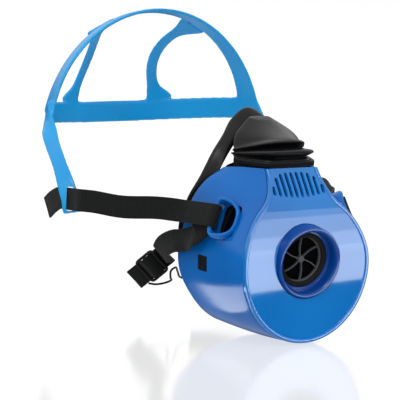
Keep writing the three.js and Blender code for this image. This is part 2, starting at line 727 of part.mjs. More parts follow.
function headHarness() {
  const [blade, slot] = arm();
  const right = geometryOf(cut(blade, slot));
  return geometryOf(join(hoop(), backBand(), rib(), mirrored(rib()), right, mirrored(right)));
}

// ---------------------------------------------------------------------------------------
// Straps. Each one has a row of centre points and, for each point, the direction of its width.
// ---------------------------------------------------------------------------------------

function strap(points, directions, steps, width = webbing.width) {
  const turn = new THREE.CatmullRomCurve3(directions, false, 'centripetal');
  return band(points, (s) => turn.getPoint(s), width, webbing.thickness, steps);
}

const upDir = V(0, 1, 0).transformDirection(guideFrame);
const outerN = guide.rise + guide.play + webbing.thickness / 2;
const innerN = guide.rise - guide.barThickness - guide.play - webbing.thickness / 2;
const foldU = guide.rear - guide.bar / 2;
const wrapEnd = 14;
// The inner strand runs downwards once it is clear of the guide. A wider one drops less steeply, so
// its edge stays behind the guide's leg.
const strandSlope = 17.05 / webbing.width;
const strandAt = (u) => fromGuide(u, -strandSlope * Math.max(0, u - guide.rear - 0.5), innerN);
// The straps swing about these points, on round ends that sit in the turned strap's hollowed ends
const upperPivot = fromGuide(wrapEnd + webbing.width / 2, 0, outerN);
const neckPivotU = wrapEnd + 4;
const neckPivot = strandAt(neckPivotU);

const endRadius = webbing.width / 2 + 0.15, endThickness = webbing.thickness + 0.2;

// Round strap end, with its flat faces across the guide's normal
function strapDisc(at, radius = endRadius, depth = endThickness) {
  const axis = V().subVectors(fromGuide(0, 0, 1), fromGuide(0, 0, 0)).multiplyScalar(depth / 2);
  return closed(rod(radius, V().subVectors(at, axis), V().addVectors(at, axis), 24));
}

// Strap turned round the guide's bar
function strapWrap() {
  const r = (outerN - innerN) / 2, n = (outerN + innerN) / 2, horn = 4;
  const points = [fromGuide(wrapEnd + webbing.width / 2 - horn, 0, outerN), fromGuide(foldU + 3, 0, outerN)];
  for (let a = 0; a <= 180; a += 30) {
    points.push(fromGuide(foldU - r * Math.sin(a * DEG), 0, n + r * Math.cos(a * DEG)));
  }
  points.push(strandAt(guide.rear), strandAt(guide.rear + 3), strandAt(neckPivotU - horn * 0.7));
  const turned = strap(points, points.map(() => upDir), 26);
  const hollow = endRadius + GAP, depth = 2 * webbing.thickness;
  return geometryOf(cut(turned, strapDisc(upperPivot, hollow, depth), strapDisc(neckPivot, hollow, depth)));
}

// The upper strap passes straight through the arm's slot, along the line that the harness slides on
const strapRun = V(0, 1, -0.09).normalize();
const nearSlot = (d) => armEnd.clone().addScaledVector(strapRun, d);

function upperStrap() {
  const lead = [4, 9].map((d) => fromGuide(wrapEnd + webbing.width / 2 + d, 0, outerN));
  const points = [upperPivot, ...lead, V(71, -9, 8), V(85, 15, 5.6), V(95.5, 36, 6.3),
    ...[-14, -7, 0, 7, 14].map(nearSlot), V(99.5, 86, -1.5), V(98, 96, -7)];
  const up = V(0, 0, 1);
  const directions = [
    upDir, upDir, upDir, V(0.05, 0, 1), ...Array(7).fill(up), V(0.1, 0.1, 1), V(0.1, 0.3, 1),
  ];
  const end = strapDisc(upperPivot);
  return geometryOf(join(strap(points, directions, 56), end));
}

// First points of a neck strand, in line with the end of the turned strap
const strandStart = () => [0, 3].map((d) => strandAt(neckPivotU + d));

// Points on the buckle: t along the strap, w across it, n out from its face
const neckAcross = neck.across.clone().projectOnPlane(neck.run).normalize();
const neckOut = V().crossVectors(neck.run, neckAcross).normalize();
const buckle = (t, w, n) => neck.buckleAt.clone().addScaledVector(neck.run, t)
  .addScaledVector(neckAcross, w).addScaledVector(neckOut, n);

// The wearer's right strand goes from the guide, over the buckle's middle bar, to its free end
function neckStrapRight() {
  const f = neck.frameThickness / 2 + GAP + webbing.thickness / 2 + 0.2, run = neck.frameLength / 2;
  const through = [[-run - 5, -f - 0.4], [-run + 1.6, -f], [-run * 0.48, 0], [-1.4, f], [1.4, f],
    [run * 0.48, 0], [run - 1.6, -f], [run + 4, -f], [neck.tail + 3, -f - 1]];
  const points = [...strandStart().map(flip), V(-59, -25, -12), V(-60.5, -13, -14.5),
    V(-59.5, 1, -20.5), V(-54, 13, -28), ...through.map(([t, n]) => buckle(t, 0, n))];
  const start = flip(upDir), end = neckAcross.clone().negate();
  const directions = [start, start, V(0, 0.2, 1), V(0, 0.35, 1), V(-0.15, 0.5, 0.85), V(-0.4, 0.6, 0.7),
    ...through.map(() => end)];
  const roundEnd = mirrored(strapDisc(neckPivot));
  return geometryOf(join(strap(points, directions, 80), roundEnd));
}

function neckStrapLeft() {
  const points = [...strandStart(), V(60, -24, -14), V(61, 2, -19), V(52, 24, -31), V(33, 39, -42),
    V(10, 43, -49), V(-10, 41, -52)];
  const up = V(0, 0, 1);
  const directions = [upDir, upDir, V(-0.1, 0.3, 1), V(-0.1, 0.1, 1), up, up, up, up];
  const roundEnd = strapDisc(neckPivot);
  return geometryOf(join(strap(points, directions, 40), roundEnd));
}

function neckBuckle() {
  const width = webbing.width + 2 * (neck.frameSide + GAP);
  const slot = (neck.frameLength - 2 * neck.endBar - neck.midBar) / 2;
  const corners = [[-1, -1], [1, -1], [1, 1], [-1, 1]].map(([a, b]) => (
    new THREE.Vector2(a * neck.frameLength / 2, b * width / 2)));
  const frame = plate(new THREE.Shape(rounded(corners, 3)), neck.frameThickness)
    .translate(0, 0, -neck.frameThickness / 2);
  const slots = [-1, 1].map((side) => block(slot, webbing.width + 2 * GAP, 3 * neck.frameThickness,
    V(side * (neck.midBar + slot) / 2, 0, 0)));
  const toWorld = new THREE.Matrix4().makeBasis(neck.run, neckAcross, neckOut).setPosition(neck.buckleAt);
  return geometryOf(cut(frame, ...slots)).applyMatrix4(toWorld);
}

// Wire hook sewn into the left strand's end; its free end lies in front of the buckle
function neckHook() {
  const r = hook.wire / 2;
  const beside = [
    [-24, 36, -50], [-29, 31, -45], [-34, 26, -41], [-38, 25, -43], [-37, 27, -48], [-34, 31, -51],
    [-38, 33, -53], [-45, 33, -53.5], [-51, 33, -52.5],
  ].map((p) => V(...p).addScaledVector(neckAcross, webbing.width / 2 - hook.besideHalf));
  const start = [V(-11.2, 41, -52), V(-17, 40, -52)];
  const path = new THREE.CatmullRomCurve3([...start, ...beside], false, 'centripetal');
  const section = [...Array(8).keys()].map((k) => (
    new THREE.Vector2(r * Math.cos(k * Math.PI / 4), r * Math.sin(k * Math.PI / 4))));
  const options = { extrudePath: path, steps: 44, bevelEnabled: false };
  return closed(new THREE.ExtrudeGeometry(new THREE.Shape(section), options));
}

// ---------------------------------------------------------------------------------------
// Assembly
// ---------------------------------------------------------------------------------------

const finish = {
  shell: { color: 0x0a5cab, roughness: 0.22, metalness: 0 },
  harness: { color: 0x0a78c8, roughness: 0.4, metalness: 0 },
  rubber: { color: 0x343434, roughness: 0.75, metalness: 0 },
  carrier: { color: 0x151515, roughness: 0.5, metalness: 0 },
  webbing: { color: 0x232524, roughness: 0.9, metalness: 0 },
  buckle: { color: 0x0c0c0d, roughness: 0.35, metalness: 0 },
  wire: { color: 0x2a2a2c, roughness: 0.35, metalness: 0.9 },
};

const respirator = new THREE.Group();

function place(name, geometry, look) {
  const g = geometry.toNonIndexed();
  g.computeVertexNormals();
  const mesh = new THREE.Mesh(g, new THREE.MeshStandardMaterial(look));
  mesh.name = name;
  respirator.add(mesh);
}

place('front_cover', frontCover(), finish.shell);
place('housing', housingShell(), finish.shell);
place('connector_collar', connectorCollar(), finish.shell);
place('connector_gasket', connectorGasket(), finish.carrier);
place('inhalation_valve_seat', inhalationSeat(), finish.carrier);
place('inhalation_valve_flap', inhalationFlap(), finish.rubber);
place('carrier_plate', carrierPlate(), finish.carrier);
place('exhalation_valve_seat', exhalationSeat(), finish.carrier);
place('exhalation_valve_flap', exhalationFlap(), finish.rubber);
place('facepiece', facepiece(), finish.rubber);
place('clamp_ring', clampRingSolid(), finish.carrier);
place('head_harness', headHarness(), finish.harness);

const pairs = {
  latch: [latchButton(), finish.carrier],
  strap_guide: [strapGuide(), finish.shell],
  strap_wrap: [strapWrap(), finish.webbing],
  upper_strap: [upperStrap(), finish.webbing],
};
for (const [name, [geometry, look]] of Object.entries(pairs)) {
  place(`${name}_left`, closed(geometry), look);
  place(`${name}_right`, mirrored(geometry), look);
}

place('neck_strap_left', neckStrapLeft(), finish.webbing);
place('neck_strap_right', neckStrapRight(), finish.webbing);
place('neck_buckle', neckBuckle(), finish.buckle);
place('neck_hook', neckHook(), finish.wire);

export default respirator;
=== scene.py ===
"""Half-mask respirator: the finished look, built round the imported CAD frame.

Every shape is a surface worked out as numpy arrays in millimetres, in the frame that the CAD
parts share: +X to the wearer's left, +Y towards the wearer, +Z up.
"""

import json
import logging
import math
from dataclasses import dataclass, field
from enum import Enum

import bpy
import numpy as np
from mathutils import Matrix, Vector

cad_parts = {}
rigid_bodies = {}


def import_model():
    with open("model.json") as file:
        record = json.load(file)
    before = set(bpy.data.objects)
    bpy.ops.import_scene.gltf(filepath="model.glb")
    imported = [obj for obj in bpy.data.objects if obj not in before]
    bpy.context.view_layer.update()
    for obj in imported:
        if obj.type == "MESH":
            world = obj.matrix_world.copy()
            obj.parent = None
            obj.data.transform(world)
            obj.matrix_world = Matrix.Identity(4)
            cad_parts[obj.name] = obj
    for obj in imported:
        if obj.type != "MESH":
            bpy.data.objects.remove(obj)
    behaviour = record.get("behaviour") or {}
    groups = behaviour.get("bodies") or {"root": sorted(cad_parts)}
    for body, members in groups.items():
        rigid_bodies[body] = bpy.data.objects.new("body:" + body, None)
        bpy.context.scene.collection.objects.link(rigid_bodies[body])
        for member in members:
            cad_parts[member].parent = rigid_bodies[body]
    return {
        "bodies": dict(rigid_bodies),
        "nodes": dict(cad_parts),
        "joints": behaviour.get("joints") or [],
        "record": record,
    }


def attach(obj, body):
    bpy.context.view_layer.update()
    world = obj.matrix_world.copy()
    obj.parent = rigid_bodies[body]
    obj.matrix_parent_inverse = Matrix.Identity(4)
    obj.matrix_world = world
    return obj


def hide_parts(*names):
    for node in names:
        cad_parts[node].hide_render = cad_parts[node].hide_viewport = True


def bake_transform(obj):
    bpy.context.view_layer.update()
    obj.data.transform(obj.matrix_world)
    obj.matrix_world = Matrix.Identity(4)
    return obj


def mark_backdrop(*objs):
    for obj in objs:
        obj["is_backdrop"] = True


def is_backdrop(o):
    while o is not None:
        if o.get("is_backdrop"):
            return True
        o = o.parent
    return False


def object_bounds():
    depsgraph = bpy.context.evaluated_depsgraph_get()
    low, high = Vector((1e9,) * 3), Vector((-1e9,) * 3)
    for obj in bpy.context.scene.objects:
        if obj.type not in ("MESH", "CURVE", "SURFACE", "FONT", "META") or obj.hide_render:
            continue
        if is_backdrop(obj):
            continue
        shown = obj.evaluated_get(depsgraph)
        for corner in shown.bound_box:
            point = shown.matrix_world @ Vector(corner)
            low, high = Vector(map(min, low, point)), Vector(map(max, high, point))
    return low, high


Array = np.ndarray
LOG = logging.getLogger("respirator")
MM = 0.001


# ---------------------------------------------------------------------------------------
# Curves
# ---------------------------------------------------------------------------------------


def unit(v: Array) -> Array:
    """Vectors of length 1 along the last axis."""
    return v / np.maximum(np.linalg.norm(v, axis=-1, keepdims=True), 1e-12)


def smoothstep(x: Array, low: float, high: float) -> Array:
    """Rises from 0 at low to 1 at high as 3t^2 - 2t^3."""
    t = np.clip((np.asarray(x, float) - low) / (high - low), 0.0, 1.0)
    return t * t * (3 - 2 * t)


def spline(points: list | Array, t: Array, loop: bool = False) -> Array:
    """Centripetal Catmull-Rom curve: a cubic per span whose end slopes use root chord lengths.

    Args:
        points: the points it passes through, (n, 3).
        t: 0 to 1, equal steps for equal numbers of points.
        loop: joins the last point to the first.

    Returns:
        Points at t, (len(t), 3).
    """
    p = np.asarray(points, float)
    if loop:
        q = np.vstack([p[-1], p, p[:2]])
        spans = len(p)
    else:
        q = np.vstack([2 * p[0] - p[1], p, 2 * p[-1] - p[-2]])
        spans = len(p) - 1
    i = np.clip((np.asarray(t) * spans).astype(int), 0, spans - 1)
    w = (np.asarray(t) * spans - i)[:, None]
    a, b, c, d = (q[i + k] for k in range(4))
    ab, bc, cd = (np.maximum(np.linalg.norm(v, axis=1), 1e-6)[:, None] ** 0.5 for v in (b - a, c - b, d - c))
    start = ((b - a) / ab - (c - a) / (ab + bc) + (c - b) / bc) * bc
    end = ((c - b) / bc - (d - b) / (bc + cd) + (d - c) / cd) * bc
    rise = c - b
    return b + start * w + (3 * rise - 2 * start - end) * w**2 + (start + end - 2 * rise) * w**3


def lengths(line: Array) -> Array:
    """Running length along a polyline, from 0."""
    return np.concatenate([[0.0], np.cumsum(np.linalg.norm(np.diff(line, axis=0), axis=1))])


def along(line: Array, f: Array) -> Array:
    """Points of a polyline at fractions f of its length."""
    run = lengths(line)
    at = np.asarray(f, float) * run[-1]
    return np.stack([np.interp(at, run, line[:, k]) for k in range(line.shape[1])], axis=-1)


def even_curve(points: list | Array, count: int, loop: bool = False) -> Array:
    """A spline resampled at equal distances; a loop leaves out its repeated last point."""
    dense = spline(points, np.linspace(0, 1, 40 * len(points)), loop)
    return along(dense, np.linspace(0, 1, count, endpoint=not loop))


def rounded_polygon(corners: list[tuple[float, float]], radius: float, steps: int = 8) -> Array:
    """Closed polygon whose corners are quadratic arcs that start radius before each corner."""
    pts = np.asarray(corners, float)
    out = []
    for k, corner in enumerate(pts):
        before, after = pts[k - 1] - corner, pts[(k + 1) % len(pts)] - corner
        a = corner + unit(before) * min(radius, 0.45 * np.linalg.norm(before))
        b = corner + unit(after) * min(radius, 0.45 * np.linalg.norm(after))
        t = np.linspace(0, 1, steps)[:, None]
        out.append((1 - t) ** 2 * a + 2 * t * (1 - t) * corner + t**2 * b)
    return np.vstack(out)


def rounded_box_section(width: float, height: float, radius: float, arc: int = 4, side: int = 1) -> Array:
    """Cross-section of a flat bar, centred on 0, with quarter circles at its corners."""
    w, h = width / 2 - radius, height / 2 - radius
    out = []
    for k, (cx, cy) in enumerate([(w, h), (-w, h), (-w, -h), (w, -h)]):
        turn = np.linspace(k, k + 1, arc) * math.pi / 2
        out.append(np.stack([cx + radius * np.cos(turn), cy + radius * np.sin(turn)], axis=1))
    ring = np.vstack(out)
    if side < 2:
        return ring
    ring = np.vstack([ring, ring[:1]])
    run = lengths(ring)
    extra = np.concatenate([np.linspace(run[k], run[k + 1], side, endpoint=False) for k in range(len(run) - 1)
                            if run[k + 1] > run[k] + 1e-9])
    return np.stack([np.interp(extra, run, ring[:, k]) for k in (0, 1)], axis=1)


# ---------------------------------------------------------------------------------------
# Surfaces
# ---------------------------------------------------------------------------------------


@dataclass
class Surface:
    """Points in millimetres with their faces, and a UV point for each vertex."""

    points: Array
    faces: list[tuple[int, ...]]
    uv: Array

    @staticmethod
    def grid(rows: Array, loop_rows: bool = False, loop_columns: bool = True, caps: bool = False,
             uv: Array | None = None) -> "Surface":
        """Quads over a grid of points.

        Args:
            rows: (r, c, 3) points.
            loop_rows: joins the last row to the first.
            loop_columns: joins the last column to the first.
            caps: closes the first and the last row with a face each.
            uv: (r, c, 2), or None for the row and column fractions.

        Returns:
            The surface, with its faces turned outwards if it is closed.
        """
        r, c = rows.shape[:2]
        i = np.arange(r if loop_rows else r - 1)[:, None]
        j = np.arange(c if loop_columns else c - 1)[None, :]
        i2, j2 = (i + 1) % r, (j + 1) % c
        quads = np.stack([i * c + j, i * c + j2, i2 * c + j2, i2 * c + j], axis=-1).reshape(-1, 4)
        faces = [tuple(q) for q in quads.tolist()]
        if caps:
            faces += [tuple(range(c - 1, -1, -1)), tuple(range((r - 1) * c, r * c))]
        if uv is None:
            u, v = np.meshgrid(np.linspace(0, 1, r), np.linspace(0, 1, c), indexing="ij")
            uv = np.stack([u, v], axis=-1)
        return Surface(rows.reshape(-1, 3), faces, uv.reshape(-1, 2)).outward()

    def volume(self) -> float:
        """Signed volume, six times over, from fans over the faces."""
        total = 0.0
        by_size: dict[int, list] = {}
        for f in self.faces:
            by_size.setdefault(len(f), []).append(f)
        for size, group in by_size.items():
            p = self.points[np.array(group)]
            for k in range(1, size - 1):
                total += np.einsum("ij,ij->", p[:, 0], np.cross(p[:, k], p[:, k + 1]))
        return float(total)

    def outward(self) -> "Surface":
        """The same surface with its faces turned so that the volume is positive."""
        if self.volume() >= 0:
            return self
        return Surface(self.points, [f[::-1] for f in self.faces], self.uv)

    def flipped(self) -> "Surface":
        """The copy on the other side of the plane X = 0."""
        return Surface(self.points * [-1, 1, 1], [f[::-1] for f in self.faces], self.uv)

    def __add__(self, other: "Surface") -> "Surface":
        """Both surfaces in one, unjoined."""
        shift = len(self.points)
        return Surface(np.vstack([self.points, other.points]),
                       self.faces + [tuple(i + shift for i in f) for f in other.faces],
                       np.vstack([self.uv, other.uv]))

    def build(self, name: str, smooth_angle: float | None = 40.0) -> bpy.types.Object:
        """A Blender object of this surface, in metres."""
        mesh = bpy.data.meshes.new(name)
        mesh.from_pydata((self.points * MM).tolist(), [], self.faces)
        layer = mesh.uv_layers.new(name="UVMap")
        index = np.empty(len(mesh.loops), dtype=np.int32)
        mesh.loops.foreach_get("vertex_index", index)
        layer.data.foreach_set("uv", self.uv[index].astype(np.float32).ravel())
        mesh.update()
        obj = bpy.data.objects.new(name, mesh)
        bpy.context.scene.collection.objects.link(obj)
        shade(obj, smooth_angle)
        return obj


def shade(obj: bpy.types.Object, angle: float | None) -> None:
    """Smooth shading, with edges sharper than angle in degrees left crisp."""
    mesh = obj.data
    mesh.polygons.foreach_set("use_smooth", np.ones(len(mesh.polygons), dtype=bool))
    if angle is not None:
        mesh.set_sharp_from_angle(angle=math.radians(angle))
    mesh.update()


def applied(obj: bpy.types.Object) -> None:
    """Replaces an object's mesh with the result of its modifiers."""
    bpy.context.view_layer.update()
    graph = bpy.context.evaluated_depsgraph_get()
    mesh = bpy.data.meshes.new_from_object(obj.evaluated_get(graph))
    obj.modifiers.clear()
    old, obj.data = obj.data, mesh
    bpy.data.meshes.remove(old)


def carve(obj: bpy.types.Object, tools: list[Surface], operation: str = "DIFFERENCE") -> bpy.types.Object:
    """Cuts closed surfaces from an object, or joins them to it, one after another."""
    for k, tool in enumerate(tools):
        cutter = tool.build(f"{obj.name}_tool_{k}")
        boolean = obj.modifiers.new("cut", "BOOLEAN")
        boolean.operation = operation
        boolean.solver = "MANIFOLD"
        boolean.object = cutter
        applied(obj)
        mesh = cutter.data
        bpy.data.objects.remove(cutter)
        bpy.data.meshes.remove(mesh)
    return obj


def remeshed(obj: bpy.types.Object, voxel: float, smoothing: int, factor: float = 0.5) -> bpy.types.Object:
    """Melts overlapping closed parts into one skin of even quads, then relaxes it a little.

    Args:
        obj: the object.
        voxel: quad size in millimetres.
        smoothing: relaxing steps.
        factor: share of each step that is taken.

    Returns:
        The same object.
    """
    mod = obj.modifiers.new("melt", "REMESH")
    mod.mode = "VOXEL"
    mod.voxel_size = voxel * MM
    if smoothing:
        relax = obj.modifiers.new("relax", "SMOOTH")
        relax.iterations = smoothing
        relax.factor = factor
    applied(obj)
    shade(obj, None)
    return obj


def sweep(path: Array, across: Array, section: Array, caps: bool = True, loop: bool = False,
          scale: Array | None = None) -> Surface:
    """Carries a cross-section along a path.

    Args:
        path: (n, 3) points.
        across: (n, 3) direction of the section's first axis, roughly across the path.
        section: (m, 2) outline.
        caps: closes the ends.
        loop: joins the end to the start.
        scale: (n, 2) factors for the two axes at each point.

    Returns:
        The surface. Its UV holds millimetres along the path and round the section.
    """
    if loop:
        tangent = unit(np.roll(path, -1, axis=0) - np.roll(path, 1, axis=0))
    else:
        tangent = unit(np.gradient(path, axis=0))
    first = unit(across - tangent * np.sum(across * tangent, axis=1, keepdims=True))
    second = np.cross(tangent, first)
    scale = np.ones((len(path), 2)) if scale is None else scale
    a = section[None, :, 0] * scale[:, :1]
    b = section[None, :, 1] * scale[:, 1:]
    rows = path[:, None] + a[..., None] * first[:, None] + b[..., None] * second[:, None]
    run = lengths(path)
    around = section[:, 0]
    uv = np.stack(np.broadcast_arrays(run[:, None], around[None, :]), axis=-1)
    return Surface.grid(rows, loop_rows=loop, caps=caps and not loop, uv=uv)


def lathe(profile: Array, segments: int = 96) -> Surface:
    """Turns a closed profile of (radius, height) about Z."""
    turn = np.linspace(0, 2 * math.pi, segments, endpoint=False)
    rows = np.stack([profile[None, :, 0] * np.cos(turn)[:, None], profile[None, :, 0] * np.sin(turn)[:, None],
                     np.broadcast_to(profile[None, :, 1], (segments, len(profile)))], axis=-1)
    return Surface.grid(rows, loop_rows=True)


def placed(surface: Surface, origin: Array, x: Array, y: Array, z: Array) -> Surface:
    """A surface moved from its own axes to an origin with axes x, y and z."""
    points = origin + surface.points @ np.stack([x, y, z])
    return Surface(points, surface.faces, surface.uv).outward()


# ---------------------------------------------------------------------------------------
# Finishes
# ---------------------------------------------------------------------------------------


def linear(r: int, g: int, b: int) -> tuple[float, float, float, float]:
    """Scene-linear colour of an sRGB colour in 0 to 255."""
    c = [v / 255 for v in (r, g, b)]
    return tuple(v / 12.92 if v <= 0.04045 else ((v + 0.055) / 1.055) ** 2.4 for v in c) + (1.0,)


@dataclass
class Graph:
    """Short forms for building one node tree."""

    tree: bpy.types.NodeTree

    def node(self, kind: str, **settings: object) -> bpy.types.Node:
        """Adds a node and sets its properties."""
        made = self.tree.nodes.new(kind)
        for key, value in settings.items():
            setattr(made, key, value)
        return made

    def link(self, out: object, into: object) -> None:
        """Connects an output to an input."""
        self.tree.links.new(out, into)

    def feed(self, into: object, value: object) -> None:
        """Gives an input a number or colour, or connects an output to it."""
        if isinstance(value, (int, float, tuple)):
            into.default_value = value
        else:
            self.link(value, into)

    def preset(self, node: bpy.types.Node, values: dict[str, object]) -> None:
        """Feeds several of a node's inputs by name."""
        for key, value in values.items():
            self.feed(node.inputs[key], value)

    def math(self, operation: str, *values: object) -> bpy.types.NodeSocket:
        """A Math node on sockets or numbers; returns its output."""
        made = self.node("ShaderNodeMath", operation=operation)
        for into, value in zip(made.inputs, values):
            self.feed(into, value)
        return made.outputs[0]

    def noise(self, vector: object, scale: object, detail: float = 2.0,
              rough: float = 0.5) -> bpy.types.NodeSocket:
        """A noise texture's factor."""
        made = self.node("ShaderNodeTexNoise")
        self.preset(made, {"Detail": detail, "Roughness": rough, "Scale": scale, "Vector": vector})
        return made.outputs[0]

    def remap(self, value: object, low: float, high: float, to_low: float,
              to_high: float) -> bpy.types.NodeSocket:
        """Maps a range linearly, clamped."""
        made = self.node("ShaderNodeMapRange")
        for into, number in zip(made.inputs, (value, low, high, to_low, to_high)):
            self.feed(into, number)
        return made.outputs[0]

    def mix(self, factor: object, a: object, b: object) -> bpy.types.NodeSocket:
        """Mixes two colours."""
        made = self.node("ShaderNodeMix", data_type="RGBA")
        self.link(factor, made.inputs["Factor"])
        for into, value in zip((s for s in made.inputs if s.type == "RGBA"), (a, b)):
            self.feed(into, value)
        return next(s for s in made.outputs if s.type == "RGBA")

    def bump(self, height: object, strength: object, distance: float) -> bpy.types.NodeSocket:
        """A Bump node's normal; distance is in metres."""
        made = self.node("ShaderNodeBump")
        self.preset(made, {"Distance": distance, "Strength": strength, "Height": height})
        return made.outputs["Normal"]


def group(name: str, inputs: dict[str, float | None],
          outputs: dict[str, str]) -> tuple[bpy.types.NodeTree, Graph]:
    """An empty shader node group.

    Args:
        name: its name.
        inputs: name to default number, or None for a vector.
        outputs: name to socket type.

    Returns:
        The tree and its graph.
    """
    tree = bpy.data.node_groups.new(name, "ShaderNodeTree")
    for key, value in inputs.items():
        kind = "NodeSocketVector" if value is None else "NodeSocketFloat"
        socket = tree.interface.new_socket(key, in_out="INPUT", socket_type=kind)
        if value is not None:
            socket.default_value = value
    for key, kind in outputs.items():
        tree.interface.new_socket(key, in_out="OUTPUT", socket_type=kind)
    return tree, Graph(tree)


def moulding_group() -> bpy.types.NodeTree:
    """Moulded surface: slow tone changes, a fine grain and faint handling marks."""
    tree, g = group("moulded_surface", {"Vector": None, "Grain": 900.0, "Relief": 0.2, "Marks": 0.3},
                    {"Tone": "NodeSocketFloat", "Rub": "NodeSocketFloat", "Normal": "NodeSocketVector"})
    start, end = g.node("NodeGroupInput"), g.node("NodeGroupOutput")
    position = start.outputs["Vector"]
    tone = g.noise(position, 22.0, 2.0)
    grain = g.noise(position, start.outputs["Grain"], 3.0, 0.6)
    normal = g.bump(grain, start.outputs["Relief"], 0.00006)
    stretch = g.node("ShaderNodeMapping")
    stretch.inputs["Scale"].default_value = (1.0, 9.0, 3.0)
    g.link(position, stretch.inputs["Vector"])
    scuffs = g.remap(g.noise(stretch.outputs[0], 60.0, 4.0, 0.7), 0.58, 0.75, 0.0, 1.0)
    g.link(tone, end.inputs["Tone"])
    g.link(g.math("MULTIPLY", scuffs, start.outputs["Marks"]), end.inputs["Rub"])
    g.link(normal, end.inputs["Normal"])
    return tree


def weave_group() -> bpy.types.NodeTree:
    """Woven tape, on a UV map in millimetres: weft ribs across, warp yarns along, in a plain weave."""
    tree, g = group("woven_tape", {"Vector": None, "Rib": 1.1, "Yarn": 0.85, "Relief": 0.8},
                    {"Shade": "NodeSocketFloat", "Normal": "NodeSocketVector"})
    start, end = g.node("NodeGroupInput"), g.node("NodeGroupOutput")
    split = g.node("ShaderNodeSeparateXYZ")
    g.link(start.outputs["Vector"], split.inputs[0])
    ribs = g.math("DIVIDE", split.outputs[0], start.outputs["Rib"])
    yarns = g.math("DIVIDE", split.outputs[1], start.outputs["Yarn"])
    over = g.math("SINE", g.math("MULTIPLY", ribs, math.pi))
    beside = g.math("SINE", g.math("MULTIPLY", yarns, math.pi))
    plain = g.math("ABSOLUTE", g.math("MULTIPLY", over, beside))
    fuzz = g.noise(start.outputs["Vector"], 3.0, 3.0)
    height = g.math("ADD", g.math("MULTIPLY", plain, 0.8), g.math("MULTIPLY", fuzz, 0.25))
    # Shade is painted shade: low in the hollows between the yarns, with random fuzz
    g.link(g.remap(height, 0.1, 0.9, 0.0, 1.0), end.inputs["Shade"])
    g.link(g.bump(height, start.outputs["Relief"], 0.00035), end.inputs["Normal"])
    return tree


def new_material(name: str) -> tuple[bpy.types.Material, Graph, bpy.types.Node]:
    """A new material, with the graph of its nodes and its Principled BSDF."""
    made = bpy.data.materials.new(name)
    made.use_nodes = True
    return made, Graph(made.node_tree), made.node_tree.nodes["Principled BSDF"]


@dataclass(frozen=True)
class Substance:
    """What every finish has.

    Attributes:
        name: material name, unlike any of the frame's.
    """

    name: str

    def material(self) -> bpy.types.Material:
        """The Blender material, made once."""
        made = bpy.data.materials.get(self.name)
        if made is None:
            made, graph, shader = new_material(self.name)
            self.wire(graph, shader)
        return made

    def wire(self, g: Graph, shader: bpy.types.Node) -> None:
        """Feeds the shader; each kind of finish has its own way."""
        raise NotImplementedError


@dataclass(frozen=True)
class Moulded(Substance):
    """A moulded plastic or rubber.

    Attributes:
        deep: colour of the darker tone.
        light: colour of the lighter tone.
        roughness: mean roughness.
        spread: how far roughness changes over the surface.
        grain: grain size, as a noise scale.
        relief: strength of the grain.
        marks: strength of the handling marks.
        coat: clear top reflection.
        glow: subsurface share, for plastics that let light in.
        metallic: 1 for bare metal.
        shine: strength of the plain reflection, 0.5 for an ordinary plastic.
    """

    deep: tuple[float, float, float, float]
    light: tuple[float, float, float, float]
    roughness: float
    spread: float = 0.06
    grain: float = 900.0
    relief: float = 0.15
    marks: float = 0.3
    coat: float = 0.0
    glow: float = 0.0
    metallic: float = 0.0
    shine: float = 0.5

    def wire(self, g: Graph, shader: bpy.types.Node) -> None:
        """Tone, roughness and grain from the shared moulding pattern."""
        place = g.node("ShaderNodeTexCoord")
        surface = g.node("ShaderNodeGroup")
        surface.node_tree = bpy.data.node_groups.get("moulded_surface") or moulding_group()
        g.preset(surface, {"Grain": self.grain, "Relief": self.relief, "Marks": self.marks,
                           "Vector": place.outputs["Object"]})
        tone, rub = surface.outputs["Tone"], surface.outputs["Rub"]
        rough = g.remap(tone, 0.25, 0.75, self.roughness - self.spread, self.roughness + self.spread)
        g.preset(shader, {
            "Base Color": g.mix(g.remap(tone, 0.3, 0.7, 0.0, 1.0), self.deep, self.light),
            "Roughness": g.math("ADD", rough, g.math("MULTIPLY", rub, 0.15)),
            "Normal": surface.outputs["Normal"], "Metallic": self.metallic,
            "Specular IOR Level": self.shine, "Coat Weight": self.coat, "Coat Roughness": 0.08})
        if self.glow:
            g.preset(shader, {"Subsurface Weight": self.glow, "Subsurface Radius": (0.2, 0.6, 1.0),
                              "Subsurface Scale": 0.002})


@dataclass(frozen=True)
class Woven(Substance):
    """Woven webbing on a UV map in millimetres.

    Attributes:
        low: colour between the yarns, darker as painted shade in the weave's hollows.
        high: colour on top of the yarns.
        rib: spacing of the ribs along the tape, in millimetres.
        yarn: spacing of the yarns across the tape, in millimetres.
    """

    low: tuple[float, float, float, float]
    high: tuple[float, float, float, float]
    rib: float = 1.15
    yarn: float = 0.8

    def wire(self, g: Graph, shader: bpy.types.Node) -> None:
        """Colour, roughness and relief from the weave."""
        uv = g.node("ShaderNodeUVMap", uv_map="UVMap")
        cloth = g.node("ShaderNodeGroup")
        cloth.node_tree = bpy.data.node_groups.get("woven_tape") or weave_group()
        g.preset(cloth, {"Rib": self.rib, "Yarn": self.yarn, "Vector": uv.outputs[0]})
        height = cloth.outputs["Shade"]
        # painted shade: the base colour darkens between the yarns with the weave's height, with random fuzz
        g.preset(shader, {
            "Base Color": g.mix(height, self.low, self.high),
            "Roughness": g.remap(height, 0.0, 1.0, 0.85, 0.62), "Normal": cloth.outputs["Normal"],
            "Specular IOR Level": 0.25, "Sheen Weight": 0.08, "Sheen Roughness": 0.4})


